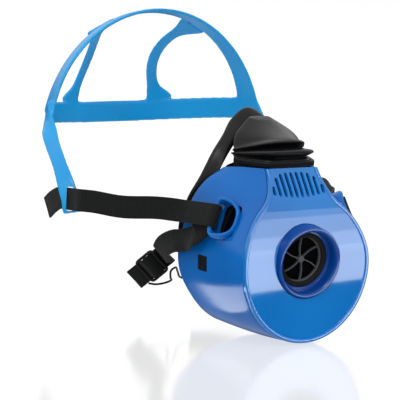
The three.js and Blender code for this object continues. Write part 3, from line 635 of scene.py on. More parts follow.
class Finish(Enum):
    """The finishes of this object."""

    HOUSING = Moulded("housing_blue", linear(3, 96, 178), linear(7, 108, 192),
                      0.16, 0.03, 700, 0.04, 0.2, shine=0.32)
    COVER = Moulded("cover_blue", linear(3, 112, 194), linear(8, 124, 206),
                    0.06, 0.015, 700, 0.02, 0.1, 0.3)
    # painted shade: the collar is the cover's plastic, given a darker blue that stands in for the shade on its bore
    # and side wall
    RING = Moulded("connector_blue_painted_shade", linear(3, 62, 142), linear(6, 72, 154),
                   0.2, 0.03, 700, 0.03, 0.1, shine=0.4)
    CRADLE = Moulded("cradle_blue", linear(2, 150, 218), linear(6, 162, 230),
                     0.3, 0.05, 800, 0.1, 0.3, 0.0, 0.15)
    RUBBER = Moulded("rubber_finish", linear(13, 14, 14), linear(22, 23, 22),
                     0.34, 0.07, 1100, 0.35, 0.5, shine=0.28)
    DARK = Moulded("dark_plastic", linear(13, 14, 16), linear(20, 22, 24),
                   0.36, 0.05, 900, 0.2, 0.4, shine=0.25)
    NAVY = Moulded("navy_plastic", linear(8, 40, 96), linear(14, 52, 112),
                   0.35, 0.05, 800, 0.15, 0.3)
    SEAT = Moulded("seat_finish", linear(90, 92, 94), linear(106, 110, 111),
                   0.36, 0.05, 800, 0.1, 0.2, shine=0.25)
    FLAP = Moulded("flap_rubber", linear(8, 8, 9), linear(13, 13, 14),
                   0.42, 0.05, 1000, 0.2, 0.2, shine=0.04)
    GASKET = Moulded("gasket_finish", linear(30, 30, 25), linear(41, 41, 33),
                     0.5, 0.05, 1000, 0.25, 0.3, shine=0.15)
    WIRE = Moulded("wire_finish", linear(44, 44, 46), linear(66, 66, 68),
                   0.32, 0.06, 900, 0.2, 0.5, 0.0, 0.0, 1.0)
    WEBBING = Woven("black_webbing", linear(4, 5, 5), linear(22, 25, 24))

    def put_on(self, obj: bpy.types.Object) -> None:
        """Gives the finish to every face of an object."""
        slots = obj.data.materials
        if not slots:
            slots.append(None)
        for k in range(len(slots)):
            slots[k] = self.value.material()


def settle(obj: bpy.types.Object, finish: Finish, body: str, slot: str, *nodes: str) -> bpy.types.Object:
    """Dresses a new piece, ties it to its CAD body and reports it.

    Args:
        obj: the piece.
        finish: its finish.
        body: the CAD body that it rides on.
        slot: the record's material slot; not used.
        nodes: the CAD nodes that it replaces.

    Returns:
        The piece.
    """
    finish.put_on(obj)
    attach(obj, body)
    if nodes:
        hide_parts(*nodes)
    LOG.info("%s: %d faces on %s", obj.name, len(obj.data.polygons), body)
    return obj


# ---------------------------------------------------------------------------------------
# Shared form of the body
# ---------------------------------------------------------------------------------------


@dataclass(frozen=True)
class Form:
    """Outline, side wall and axes that several pieces are built on, in millimetres."""

    radius: float = 49.5
    centre_z: float = -22.0
    chin: float = 52.4
    neck: float = 20.5
    neck_blend: float = 30.0
    top: float = 40.0
    face_y: float = -86.3
    thickness: float = 2.6
    gap: float = 0.3
    wall: float = 2.5
    bulge: float = 1.5
    rear: tuple = ((33, -28, 37), (44, -24, 28), (50.5, -18.5, 15), (53, -12, -5), (53, -7, -25), (51.5, -9, -38),
                   (48, -17, -50.5), (43, -25, -60), (34, -29, -66.5), (17, -32, -71), (0, -33, -72.5))
    guide_y: float = -55.0
    guide_z: float = 8.5

    def front_y(self, z: Array) -> Array:
        """Depth of the front face: flat below, leaning back above in two stages."""
        z = np.asarray(z, float)
        return self.face_y + sum(slope * 4.0 * np.log1p(np.exp((z - start) / 4.0))
                                 for start, slope in ((-14.0, 0.27), (20.0, 0.5)))

    def outline(self, s: Array) -> Array:
        """Half outline from the top corner (0) to the bottom (1), as (x, z)."""
        R, r = self.radius, self.neck_blend
        cx = self.neck + r
        cz = self.centre_z + math.sqrt((R + r) ** 2 - cx**2)
        meet = math.acos(cx / (R + r))
        a = np.linspace(math.pi, math.pi + meet, 200)
        b = np.linspace(meet, 0, 200)
        c = np.linspace(0, -math.pi / 2, 300)
        line = np.vstack([
            [[self.neck, max(self.top, cz + 0.1)]],
            np.stack([cx + r * np.cos(a), cz + r * np.sin(a)], axis=1),
            np.stack([R * np.cos(b), self.centre_z + R * np.sin(b)], axis=1),
            np.stack([R * np.cos(c), self.centre_z + self.chin * np.sin(c)], axis=1)])
        return along(line, s)

    def front(self, s: Array) -> Array:
        """Front edge of the side wall."""
        p = self.outline(np.clip(s, 0, 1))
        return np.stack([p[:, 0], self.front_y(p[:, 1]) + self.thickness + self.gap, p[:, 1]], axis=1)

    def back(self, s: Array) -> Array:
        """Rear edge of the side wall."""
        return along(spline(self.rear, np.linspace(0, 1, 600)), np.clip(s, 0, 1))

    def wall_point(self, s: Array, f: float, inset: float = 0.0) -> Array:
        """Points of the side wall at s down the outline and f from the front (0) to the rear (1).

        Args:
            s: 0 at the top corner to 1 at the chin.
            f: share of the way back.
            inset: distance inwards from the outer face.

        Returns:
            The points, (n, 3).
        """
        s = np.atleast_1d(np.asarray(s, float))
        near = [self.front(s + e) * (1 - f) + self.back(s + e) * f for e in (-0.01, 0.0, 0.01)]
        down = near[2] - near[0]
        down[s >= 1] = (-1, 0, 0)
        out = unit(np.cross(down, self.back(s) - self.front(s)))
        return near[1] + out * (self.bulge * math.sin(math.pi * f) - inset)

    def wall_row(self, height: float) -> float:
        """The place down the outline, in steps of 1/30, where the front edge drops below a height."""
        grid = np.arange(31) / 30
        return grid[np.argmax(self.front(grid)[:, 2] < height)]

    def share_at(self, s: float, y: float) -> float:
        """How far back the depth y lies on the wall's row s."""
        front, back = self.front(np.array([s]))[0], self.back(np.array([s]))[0]
        return (y - front[1]) / (back[1] - front[1])

    def at_depth(self, s: Array, y: float, inset: float) -> Array:
        """Half loop of the side wall at one depth."""
        f = np.clip((y - self.front(s)[:, 1]) / (self.back(s)[:, 1] - self.front(s)[:, 1]), 0, 1)
        p = np.vstack([self.wall_point(a, float(b), inset) for a, b in zip(s, f)])
        p[:, 1] = y
        p[:, 2] = np.minimum(p[:, 2], self.top - inset)
        return p

    def guide_frame(self) -> tuple[Array, Array]:
        """Origin and axes (back along the wall, up, out) of the wearer's left strap guide."""
        s = self.wall_row(self.guide_z)
        f = self.share_at(s, self.guide_y)
        at = self.wall_point(s, f)[0]
        u = unit(self.wall_point(s, f + 0.1)[0] - self.wall_point(s, f - 0.1)[0])
        w = self.wall_point(s - 0.06, f)[0] - self.wall_point(s + 0.06, f)[0]
        w = unit(w - u * np.dot(w, u))
        return at, np.stack([u, w, np.cross(u, w)])

    def from_guide(self, local: Array) -> Array:
        """Points given in the guide's axes."""
        at, axes = self.guide_frame()
        return at + np.asarray(local, float) @ axes


FORM = Form()
FLIP = np.array([-1.0, 1.0, 1.0])
UP = np.array([0.0, 0.0, 1.0])


def level(outline: Array, height: float, axis: int) -> Array:
    """A flat outline as points at one height on an axis; the other two take its columns in order."""
    return np.insert(outline, axis, height, axis=1)


def both(half: Array) -> Array:
    """Rows for the wearer's left half, then their mirror images back up the right half."""
    return np.concatenate([half, half[:-1][::-1] * FLIP])


# ---------------------------------------------------------------------------------------
# Body shell
# ---------------------------------------------------------------------------------------


@dataclass(frozen=True)
class Shell:
    """Housing and front cover.

    Attributes:
        bead: radius of the cover's rim bead.
        slots: number of slots in the grille.
        pitch: distance between slots.
        slot_width: width of a slot.
        latch_y: depth of the latches' centres.
        latch_z: height of the latches' centres.
    """

    bead: float = 1.35
    slots: int = 10
    pitch: float = 4.3
    slot_width: float = 1.9
    latch_y: float = -39.0
    latch_z: float = -25.5

    def housing(self) -> bpy.types.Object:
        """Side wall with its strap guide pockets and latch windows."""
        s = np.linspace(0, 1, 110)
        w = FORM.wall
        outer = [(f, 0.0) for f in np.linspace(0.012, 0.985, 15)]
        outer = [(0.0, 0.5), (0.004, 0.12)] + outer + [(0.996, 0.25), (1.0, 0.9)]
        inner = [(1.0, w - 0.8), (0.99, w)] + [(f, w) for f in np.linspace(0.96, 0.02, 10)] + [(0.0, w - 0.4)]
        half = np.stack([FORM.wall_point(s, f, inset) for f, inset in outer + inner], axis=1)
        obj = Surface.grid(both(half), caps=True).build("housing_shell", 35)
        pocket, window = self.pocket(), self.window()
        tools = [pocket, pocket.flipped(), window, window.flipped()]
        carve(obj, tools)
        shade(obj, 35)
        return settle(obj, Finish.HOUSING, "mask", "body_plastic", "housing")

    def pocket(self) -> Surface:
        """Cutter for the left strap guide's pocket, wider towards the outside."""
        plan = rounded_polygon([(-10.2, -11.3), (5, -11.3), (5, 11.3), (-10.2, 11.3)], 4.5)
        rows = [FORM.from_guide(level(plan * grow, out, 2))
                for out, grow in ((-18, 1.0), (-1.2, 1.0), (0.0, 1.02), (12, 1.06))]
        return Surface.grid(np.stack(rows), caps=True)

    def window(self) -> Surface:
        """Cutter for the left latch's window."""
        x, y, z = self.latch_at()
        plan = rounded_polygon([(-5.5, -5.25), (5.5, -5.25), (5.5, 5.25), (-5.5, 5.25)], 0.8, 4) + [y, z]
        return Surface.grid(np.stack([level(plan, x + dx, 0) for dx in (-6, 6)]), caps=True)

    def latch_at(self) -> Array:
        """Centre of the left latch on the side wall."""
        row = FORM.wall_row(self.latch_z)
        wall = FORM.wall_point(row, FORM.share_at(row, self.latch_y))[0]
        return np.array([wall[0], self.latch_y, self.latch_z])

    def cover(self) -> bpy.types.Object:
        """Front cover: crowned plate, rim bead, connector opening and grille."""
        z = np.linspace(FORM.centre_z - FORM.chin - 5, FORM.top, 130)
        face = FORM.front_y(z)
        ring = np.vstack([np.column_stack([face, z]), np.column_stack([face + FORM.thickness, z])[::-1]])
        rows = np.stack([level(ring, x, 0) for x in np.linspace(-60, 60, 3)])
        obj = Surface.grid(rows, caps=True).build("front_cover_shell", 35)
        edge = FORM.outline(np.linspace(0, 1, 140))
        inside = edge - [0.4, 0.0]
        loop = np.concatenate([inside, (inside[:-1] * [-1, 1])[::-1]])
        stamp = np.stack([level(loop, y, 1) for y in (-100, -40)])
        carve(obj, [Surface.grid(stamp, caps=True)], "INTERSECT")
        carve(obj, [self.rim(edge)], "UNION")
        axis = Connector().axes()
        tools = [placed(lathe(np.array([(1e-3, -12), (24.6, -12), (24.6, 30), (1e-3, 30)]), 120), *axis)]
        middle = (self.slots - 1) / 2
        for k in range(self.slots):
            off = abs(k - middle) / middle
            tools.append(self.slot((k - middle) * self.pitch, 22 + 2 * off**2, 37.5 - 8 * off**4))
        carve(obj, tools)
        shade(obj, 35)
        return settle(obj, Finish.COVER, "mask", "cover_plastic", "front_cover")

    def rim(self, edge: Array) -> Surface:
        """Bead along the cover's edge, given as (x, z)."""
        tangent = unit(np.gradient(edge, axis=0))
        out = np.column_stack([-tangent[:, 1], np.zeros(len(edge)), tangent[:, 0]])
        centre = level(edge, 0.0, 1) + FORM.front_y(edge[:, 1])[:, None] * [0, 1, 0] - out * self.bead
        turn = np.linspace(0, 2 * math.pi, 14, endpoint=False)
        half = centre[:, None] + self.bead * (np.cos(turn)[None, :, None] * out[:, None]
                                              + np.sin(turn)[None, :, None] * np.array([0, 1.0, 0]))
        return Surface.grid(both(half), caps=True)

    def slot(self, x: float, bottom: float, top: float) -> Surface:
        """Cutter for one grille slot, with a flared mouth."""
        z = np.linspace(bottom, top, 12)
        narrow = np.minimum(1.0, np.minimum((z - bottom) / 1.0 + 0.45, (top - z) / 1.0 + 0.45))
        rows = []
        for zk, k in zip(z, narrow):
            y, w = FORM.front_y(zk), self.slot_width / 2 * k
            side = [(w, 8), (w, 0.7), (w + 0.35, -0.1), (w + 0.35, -6)]
            rows.append([(x - a, y + b, zk) for a, b in side] + [(x + a, y + b, zk) for a, b in side[::-1]])
        return Surface.grid(np.array(rows), caps=True)

    def latches(self) -> None:
        """Latch buttons with a thumb ridge."""
        at = self.latch_at()
        for name, side in (("left", 1), ("right", -1)):
            outline = rounded_polygon([(-5.2, -4.95), (5.2, -4.95), (5.2, 4.95), (-5.2, 4.95)], 0.9, 5)
            face = at[0] + 0.4
            rows = np.stack([level(outline * k + at[1:], side * x, 0) for x, k in (
                (face - 2.0, 0.97), (face - 1.9, 1.0), (face - 0.5, 1.0), (face - 0.12, 0.97), (face, 0.9),
                (face, 0.6), (face - 0.3, 0.55))])
            obj = Surface.grid(rows, caps=True).build(f"latch_{name}_button", 40)
            settle(obj, Finish.DARK, f"{name}_latch", "inner_plastic", f"latch_{name}")

    def build(self) -> None:
        """Builds every piece of the shell."""
        self.housing()
        self.cover()
        self.latches()


# ---------------------------------------------------------------------------------------
# Connector
# ---------------------------------------------------------------------------------------


@dataclass(frozen=True)
class Connector:
    """Round-thread filter connector with its gasket and valve seat. Profiles are (radius, depth)."""

    pitch: float = math.radians(5.5)
    bore: float = 20.4
    length: float = 39.0

    def axes(self) -> tuple[Array, Array, Array, Array]:
        """Origin at the rim's centre, with axes left, up and inwards."""
        inward = np.array([0.0, math.cos(self.pitch), math.sin(self.pitch)])
        side = np.array([1.0, 0.0, 0.0])
        return np.array([0.0, -90.0, -20.0]), side, np.cross(inward, side), inward

    def collar(self) -> bpy.types.Object:
        """Collar with a rounded rim and a stepped bore, plain where the real one has its thread."""
        crest = [(22.2, 0.35), (22.6, 0.08), (23.0, 0.0), (23.5, 0.12), (23.9, 0.6), (24.1, 1.4), (24.25, 3),
                 (24.3, 8)]
        mouth = [(20.45, 4.2), (20.6, 3.2), (20.95, 2.0), (21.5, 1.0)]
        inner = [(16.4, self.length), (16.4, 14.4), (18.7, 14.4), (18.7, 9.2), (18.9, 9.0), (20.2, 9.0),
                 (self.bore, 8.8)]
        profile = np.array(crest + [(24.3, 38.5), (23.8, self.length)] + inner + mouth)
        obj = placed(lathe(profile, 144), *self.axes()).build("connector_ring", 35)
        # the collar's darker blue is painted shade of its bore and side wall
        return settle(obj, Finish.RING, "mask", "cover_plastic", "connector_collar")

    def gasket(self) -> bpy.types.Object:
        """Flat gasket ring with rounded edges."""
        section = rounded_box_section(3.2, 2.0, 0.45) + [16.8, 10.2]
        obj = placed(lathe(section, 120), *self.axes()).build("gasket_ring", 35)
        return settle(obj, Finish.GASKET, "mask", "gasket_rubber", "connector_gasket")

    def seat(self) -> bpy.types.Object:
        """Valve seat: ring, hub and six curved spokes."""
        parts = lathe(rounded_box_section(3.6, 2.4, 0.3) + [16.6, 12.75], 120)
        hub = np.array([(1e-3, 10.9), (1.7, 10.95), (2.3, 11.3), (2.4, 12.2), (2.4, 14.0), (1.5, 14.1),
                        (1.5, 18), (1e-3, 18)])
        parts += lathe(hub, 48)
        section = rounded_box_section(0.8, 2.1, 0.3)
        for k in range(6):
            r = np.linspace(1.8, 15.4, 14)
            turn = np.radians(60 * k + 14) + np.radians(14) * (r / 15.4) ** 1.5
            path = np.column_stack([r * np.cos(turn), r * np.sin(turn), np.full(14, 12.7)])
            tangent = unit(np.gradient(path, axis=0))
            parts += sweep(path, np.cross(tangent, [0, 0, 1.0]), section)
        obj = placed(parts, *self.axes()).build("inhalation_seat", 40)
        return settle(obj, Finish.SEAT, "mask", "valve_plastic", "inhalation_valve_seat")

    def build(self) -> None:
        """Builds the connector's pieces."""
        self.collar()
        self.gasket()
        self.seat()


# ---------------------------------------------------------------------------------------
# Facepiece
# ---------------------------------------------------------------------------------------


@dataclass(frozen=True)
class Facepiece:
    """Rubber facepiece: cup, sealing flange and pleated nose, with the clamp ring round its neck."""

    wall: float = 2.4
    count: int = 176
    edge: tuple = ((0, -3.4, 73.7), (14, -6, 66.5), (25, -13, 56.5), (35, -17, 46), (43.5, -16.5, 30),
                   (49.5, -11, 14), (51.5, -4.5, -6), (49, -5, -26), (43.5, -12, -44), (33.5, -19, -58),
                   (17, -24, -66), (0, -25.5, -68.5))
    # pleats of the nose: front half-width, y and z, then the rear ones
    pleats: tuple = ((16.5, -60, 38, 31, -31, 38), (16.5, -60, 44.6, 31, -31, 44), (14.5, -58, 46.4, 31, -30, 45.4),
                     (16.5, -60.5, 48.0, 31.6, -29.8, 46.0), (18, -62.4, 49.6, 32, -29.5, 46.3),
                     (18.2, -62.9, 50.6, 32.1, -29.4, 46.7), (17.6, -62.0, 51.6, 32, -29.4, 47.0),
                     (13.0, -56.5, 52.4, 31, -29.6, 47.2), (10.8, -52.2, 53.4, 30.4, -29.8, 47.5),
                     (11.8, -54.6, 55.0, 30.8, -29.4, 47.9), (13, -56.5, 56.1, 31, -29, 48.2),
                     (13.0, -56.7, 57.0, 31, -29, 48.6), (12.2, -55.6, 57.8, 30.7, -29, 49.0),
                     (8.8, -52, 59.0, 30, -28.5, 50.5), (8, -47, 60.0, 28.5, -26, 55.5),
                     (7.4, -40, 61.8, 25, -23.5, 60.0),
                     (6.4, -32, 64.6, 17, -20, 65.6), (5, -25, 67.8, 10, -17.5, 69.4))

    def even(self, points: Array) -> Array:
        """Evenly spaced closed loop that starts at the top."""
        return even_curve(points, self.count, loop=True)

    def edge_loop(self) -> Array:
        """The flange's outer edge."""
        half = np.array(self.edge, float)
        return self.even(np.vstack([half, half[1:-1][::-1] * FLIP]))

    def inset(self, loop: Array, amount: float, dy: float = 0.0) -> Array:
        """A loop moved inwards in its own plane and along Y."""
        t = np.roll(loop, -1, axis=0) - np.roll(loop, 1, axis=0)
        side = unit(np.column_stack([t[:, 2], np.zeros(len(t)), -t[:, 0]]))
        sign = np.where(np.sum(side * -loop * [1, 0, 1], axis=1) < 0, -1.0, 1.0)
        return loop + side * (amount * sign)[:, None] + [0, dy, 0]

    def cup(self, y: float, inset: float) -> Array:
        """Loop of the cup at one depth, closed over the top."""
        half = FORM.at_depth(np.linspace(0, 1, 31), y, inset)
        top = half[:, 2].max()
        width = half[max(int(np.argmax(half[:, 2] < top - 0.5)) - 1, 0), 0]
        lid = np.array([(0, y, top + 0.6), (width * 0.5, y, top + 0.3)])
        return self.even(np.vstack([lid, half, (half[:-1] * FLIP)[::-1], lid[1:] * FLIP]))

    def skin(self, front: float, inset: float, flange: list[Array], rows: int) -> Array:
        """Rows of loops from the cup's front to the flange, smoothed along their length."""
        back = self.cup(-26, inset)
        back[:, 1] = np.minimum(back[:, 1], flange[0][:, 1] - 1.5)
        keys = np.stack([self.cup(front, inset), self.cup(-50, inset), self.cup(-38, inset), back] + flange)
        return np.stack([spline(keys[:, k], np.linspace(0, 1, rows)) for k in range(self.count)], axis=1)

    def nose(self, shrink: float) -> Surface:
        """Pleated nose: one loop for each pleat edge, closed behind by a chord."""
        loops = []
        for fh, fy, fz, rh, ry, rz in self.pleats:
            d = shrink
            corners = [(fh - 0.8 * d, fy + d, fz - 0.4 * d), (rh - d, ry + 0.4 * d, rz - 0.6 * d),
                       (-rh + d, ry + 0.4 * d, rz - 0.6 * d), (-fh + 0.8 * d, fy + d, fz - 0.4 * d)]
            loop = rounded_polygon(corners, 8.5, 10)
            loops.append(along(np.vstack([loop, loop[:1]]), np.linspace(0, 1, 140, endpoint=False)))
        keys = np.stack(loops)
        rows = np.stack([spline(keys[:, k], np.linspace(0, 1, 90)) for k in range(keys.shape[1])], axis=1)
        return Surface.grid(rows, caps=True)

    def build(self) -> None:
        """Builds the facepiece and the clamp ring."""
        outline, w = self.edge_loop(), self.wall
        outer = self.skin(-52.4, 3.7, [self.inset(outline, 6, -7), self.inset(outline, 0.3, -2.2), outline,
                                       self.inset(outline, 0.9, 0.9), self.inset(outline, 6, 3.0),
                                       self.inset(outline, 11, 2.4), self.inset(outline, 12, 1.8)], 64)
        inner = self.skin(-54.4, 3.7 + w, [self.inset(outline, 6 + w, -8), self.inset(outline, w + 1, -3.2),
                                           self.inset(outline, 6.6, -0.8), self.inset(outline, 11.9, -0.2),
                                           self.inset(outline, 12.1, 12)], 50)
        obj = Surface.grid(outer, caps=True).build("facepiece_rubber", 50)
        carve(obj, [self.nose(0.0)], "UNION")
        carve(obj, [Surface.grid(inner, caps=True), self.nose(w)])
        shade(obj, 55)
        settle(obj, Finish.RUBBER, "mask", "facepiece_rubber", "facepiece")
        self.clamp()

    def clamp(self) -> bpy.types.Object:
        """U-shaped clamp ring, one swept band."""
        plan = rounded_polygon([(19.0, -60.0), (31.6, -25), (-31.6, -25), (-19.0, -60.0)], 6, 10)
        plan = np.vstack([plan, plan[:1]])
        dense = along(plan, np.linspace(0, 1, 900))
        keep = dense[dense[:, 1] < -37.5]
        start = int(np.argmax(np.linalg.norm(np.diff(keep, axis=0), axis=1))) + 1
        line = np.vstack([keep[start:], keep[:start]])
        line = along(line, np.linspace(0, 1, 150))
        path = np.column_stack([line, np.full(len(line), 42.4)])
        tangent = unit(np.gradient(path, axis=0))
        section = rounded_box_section(2.8, 4.0, 0.9)
        parts = sweep(path, np.cross(tangent, [0, 0, 1.0]), section)
        obj = parts.build("clamp_band", 40)
        return settle(obj, Finish.DARK, "mask", "inner_plastic", "clamp_ring")


# ---------------------------------------------------------------------------------------
# Strap guides, webbing, buckle and hook
# ---------------------------------------------------------------------------------------

WEB_WIDTH, WEB_THICK = 15.5, 1.6
OUTER_N, INNER_N, FOLD_U = 7 + 0.9 + 0.8, 7 - 2.6 - 0.9 - 0.8, 8 - 1.5
UPPER_PIVOT_U, NECK_PIVOT_U = 14 + 7.75, 18.0


@dataclass(frozen=True)
class Guides:
    """Raised strap loops on the side walls."""

    front: float = 12.0
    rear: float = 8.0
    half: float = 14.5

    def build(self) -> None:
        """Builds both loops."""
        w, back, ahead = self.half - 1.7, self.rear - 1.5, 1.1 - self.front
        ring = rounded_polygon([(back, -w), (back, w), (-3.5, w), (ahead, 0.5 * w), (ahead, -0.5 * w), (-3.5, -w)],
                               6.0, 12)
        ring = np.vstack([ring, ring[:1]])
        ring = along(ring, np.linspace(0, 1, 120, endpoint=False))
        u = ring[:, 0]
        top = 7 - 4.6 * smoothstep(-u, -1.0, 11.5)
        lifted = smoothstep(u, 2.5, 5.5) * (1 - smoothstep(np.abs(ring[:, 1]), 8.5, 11.3))
        bottom = -0.6 * (1 - lifted) + 4.4 * lifted
        thick = 3.0 - 1.0 * smoothstep(-u, 2.0, 10.0)
        tangent = unit(np.roll(ring, -1, axis=0) - np.roll(ring, 1, axis=0))
        side = np.column_stack([tangent[:, 1], -tangent[:, 0]])
        section = rounded_box_section(1.0, 1.0, 0.3, 6)
        rows = []
        for k in range(len(ring)):
            height = top[k] - bottom[k]
            flat = ring[k] + side[k] * (section[:, :1] * thick[k])
            rows.append(np.column_stack([flat, bottom[k] + (section[:, 1] + 0.5) * height]))
        for name, sign in (("left", 1), ("right", -1)):
            points = FORM.from_guide(np.array(rows).reshape(-1, 3)).reshape(len(rows), -1, 3)
            loop = Surface.grid(points if sign > 0 else points * FLIP, loop_rows=True)
            settle(loop.build(f"guide_{name}", 45), Finish.HOUSING, "mask", "guide_plastic",
                   f"strap_guide_{name}")


@dataclass(frozen=True)
class Webbing:
    """Folded webbing: the upper straps and the neck straps."""

    def ribbon(self, points: list, directions: list, count: int, name: str) -> bpy.types.Object:
        """A woven tape along control points, with the direction of its width at each of them."""
        t = np.linspace(0, 1, 60 * len(points))
        path = spline(points, t)
        wide = spline(directions, t)
        run = lengths(path)
        f = np.linspace(0, run[-1], count)
        path = np.stack([np.interp(f, run, path[:, k]) for k in range(3)], axis=1)
        wide = np.stack([np.interp(f, run, wide[:, k]) for k in range(3)], axis=1)
        section = rounded_box_section(WEB_WIDTH, WEB_THICK, 0.55, 5, 3)
        bead = 1 + 0.16 * smoothstep(np.abs(section[:, 0]), 5.9, 6.9)
        section = section * np.stack([np.ones(len(section)), bead], axis=1)
        return sweep(path, wide, section).build(name, 60)

    def fold(self, inner: bool) -> list:
        """Guide coordinates of one half of the fold round the bar, from its middle outwards."""
        r, mid = (OUTER_N - INNER_N) / 2, (OUTER_N + INNER_N) / 2
        turn = np.radians([90, 70, 45, 20, 0] if not inner else [90, 110, 135, 160, 180])
        return [(FOLD_U - r * math.sin(a), 0, mid + r * math.cos(a)) for a in turn]

    def strand(self, u: float) -> tuple[float, float, float]:
        """A point of the inner strand, which runs downwards once it is clear of the guide."""
        return u, -1.1 * max(0.0, u - 8.5), INNER_N

    def build(self) -> None:
        """Builds the four ribbons, dresses them and hides the CAD straps that they replace."""
        up = FORM.guide_frame()[1][1]
        side = {1: np.ones(3), -1: FLIP}
        run = unit(np.array([0, 1, -0.09]))
        end = np.array([100, 61, 4.5])
        head = [FORM.from_guide(p) for p in self.fold(False)]
        lead = [FORM.from_guide([u, 0, OUTER_N]) for u in (FOLD_U + 4, 14, UPPER_PIVOT_U, UPPER_PIVOT_U + 4,
                                                           UPPER_PIVOT_U + 9)]
        upper = head + lead + [np.array(p, float) for p in ((71, -9, 8), (85, 15, 5.6), (95.5, 36, 6.3))]
        upper += [end + run * d for d in (-14, -7, 0, 7, 14)]
        upper += [np.array([99.5, 86, -1.5]), np.array([98, 96, -7.0])]
        turns = [up] * 10 + [np.array([0.05, 0, 1])] + [UP] * 7
        turns += [np.array([0.1, 0.1, 1]), np.array([0.1, 0.3, 1])]
        pivot = FORM.from_guide([UPPER_PIVOT_U, 0, OUTER_N])
        ahead = unit(upper[10] - pivot)
        for name, s in (("left", 1), ("right", -1)):
            tape = self.ribbon([p * side[s] for p in upper], [d * side[s] for d in turns], 150,
                               f"upper_tape_{name}")
            self.tie(tape, "upper_straps", (pivot - ahead * 5) * side[s], (pivot + ahead * 7) * side[s],
                     f"upper_strap_{name}", f"strap_wrap_{name}")
        self.neck(up, side)

    def tie(self, tape: bpy.types.Object, body: str, start: Array, end: Array, *nodes: str) -> None:
        """Dresses a ribbon, bakes its placement and hides the CAD nodes that it replaces.

        Args:
            tape: the ribbon.
            body: the body that its far end would follow; not used.
            start: where the bend would start, in millimetres; its value is thrown away.
            end: where the bend would end; its value is thrown away.
            nodes: the CAD nodes that it replaces.
        """
        Finish.WEBBING.put_on(tape)
        tuple(start * MM)
        tuple(end * MM)
        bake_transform(tape)
        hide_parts(*nodes)

    def neck(self, up: Array, side: dict[int, Array]) -> None:
        """The two neck ribbons."""
        fold = [FORM.from_guide(p) for p in self.fold(True)]
        lead = [FORM.from_guide(self.strand(u)) for u in (8, 11, NECK_PIVOT_U, NECK_PIVOT_U + 3)]
        pivot = lead[2]
        ahead = unit(lead[3] - lead[1])
        buckle = Buckle()
        f, half = 1 + 0.3 + 0.8 + 0.2, 9.0
        through = [(-half - 5, -f - 0.4), (-half + 1.6, -f), (-half * 0.48, 0), (-1.4, f), (1.4, f),
                   (half * 0.48, 0), (half - 1.6, -f), (half + 4, -f), (20, -f - 1)]
        right = [p * FLIP for p in fold + lead]
        right += [np.array(p, float) for p in ((-59, -25, -12), (-60.5, -13, -14.5), (-59.5, 1, -20.5),
                                               (-54, 13, -28))]
        right += [buckle.point(t, 0, n) for t, n in through]
        first = up * FLIP
        turns = [first] * 9 + [np.array(d, float) for d in ((0, 0.2, 1), (0, 0.35, 1), (-0.15, 0.5, 0.85),
                                                           (-0.4, 0.6, 0.7))] + [-buckle.axes()[1]] * 9
        left = fold + lead + [np.array(p, float) for p in ((60, -24, -14), (61, 2, -19), (52, 24, -31),
                                                           (33, 39, -42), (10, 43, -49), (-10, 41, -52))]
        left_turns = [up] * 9 + [np.array([-0.1, 0.3, 1]), np.array([-0.1, 0.1, 1])] + [UP] * 4
        for name, points, directions, s in (("right", right, turns, -1), ("left", left, left_turns, 1)):
            tape = self.ribbon(points, directions, 190, f"neck_tape_{name}")
            self.tie(tape, "neck_strap", (pivot - ahead * 4) * side[s], (pivot + ahead * 6) * side[s],
                     f"neck_strap_{name}")


@dataclass(frozen=True)
class Buckle:
    """Flat three-bar buckle on the neck strap."""

    at: tuple = (-50, 31, -40)
    length: float = 18.0
    side: float = 1.6
    mid: float = 2.8
    thick: float = 2.0

    def axes(self) -> Array:
        """Unit vectors along the strap, across it and out of the buckle's face."""
        run = unit(np.array([-0.33, 0.68, -0.65]))
        across = np.array([0.63, -0.5, -0.59])
        across = unit(across - run * np.dot(across, run))
        return np.stack([run, across, np.cross(run, across)])

    def point(self, t: float, w: float, n: float) -> Array:
        """A point given along, across and out from the middle bar."""
        return np.array(self.at, float) + np.array([t, w, n]) @ self.axes()

    def build(self) -> bpy.types.Object:
        """Frame and middle bar, melted into one moulding."""
        width = WEB_WIDTH + 2 * (self.side + 0.3)
        a, b = self.length / 2 - 1, width / 2 - 0.9
        ring = rounded_polygon([(-a, -b), (a, -b), (a, b), (-a, b)], 2.6, 8)
        ring = np.column_stack([ring, np.zeros(len(ring))])
        section = rounded_box_section(1.9, self.thick, 0.55, 5)
        tangent = unit(np.roll(ring, -1, axis=0) - np.roll(ring, 1, axis=0))
        frame = sweep(ring, np.cross(tangent, [0, 0, 1.0]), section, loop=True)
        y = np.linspace(-width / 2 + 0.6, width / 2 - 0.6, 30)
        bar = sweep(np.column_stack([np.zeros(30), y, np.zeros(30)]), np.tile([1.0, 0, 0], (30, 1)),
                    rounded_box_section(self.mid, self.thick, 0.6, 5))
        obj = placed(frame + bar, np.array(self.at, float), *self.axes()).build("buckle_frame", None)
        remeshed(obj, 0.3, 3, 0.5)
        return settle(obj, Finish.DARK, "neck_strap", "buckle_plastic", "neck_buckle")


@dataclass(frozen=True)
class Hook:
    """Bent wire hook at the free end of the left neck strap."""

    wire: float = 1.5
    route: tuple = ((-11.2, 41, -52), (-17, 40, -52), (-24, 36, -50), (-29, 31, -45), (-34, 26, -41), (-38, 25, -43),
                    (-37, 27, -48), (-34, 31, -51), (-38, 33, -53), (-45, 33, -53.5), (-51, 33, -52.5))

    def build(self) -> bpy.types.Object:
        """Round wire with domed ends."""
        path = even_curve(self.route, 160)
        turn = np.linspace(0, 2 * math.pi, 14, endpoint=False)
        section = np.stack([np.cos(turn), np.sin(turn)], axis=1) * self.wire / 2
        run = lengths(path)
        near = np.minimum(run, run[-1] - run)
        dome = np.sqrt(np.clip(1 - (1 - np.clip(near / 0.75, 0, 1)) ** 2, 0.02, 1))
        across = np.tile([0.0, 0.3, 1.0], (160, 1))
        obj = sweep(path, across, section, scale=np.stack([dome, dome], axis=1)).build("hook_wire_bend", 60)
        return settle(obj, Finish.WIRE, "neck_strap", "hook_wire", "neck_hook")


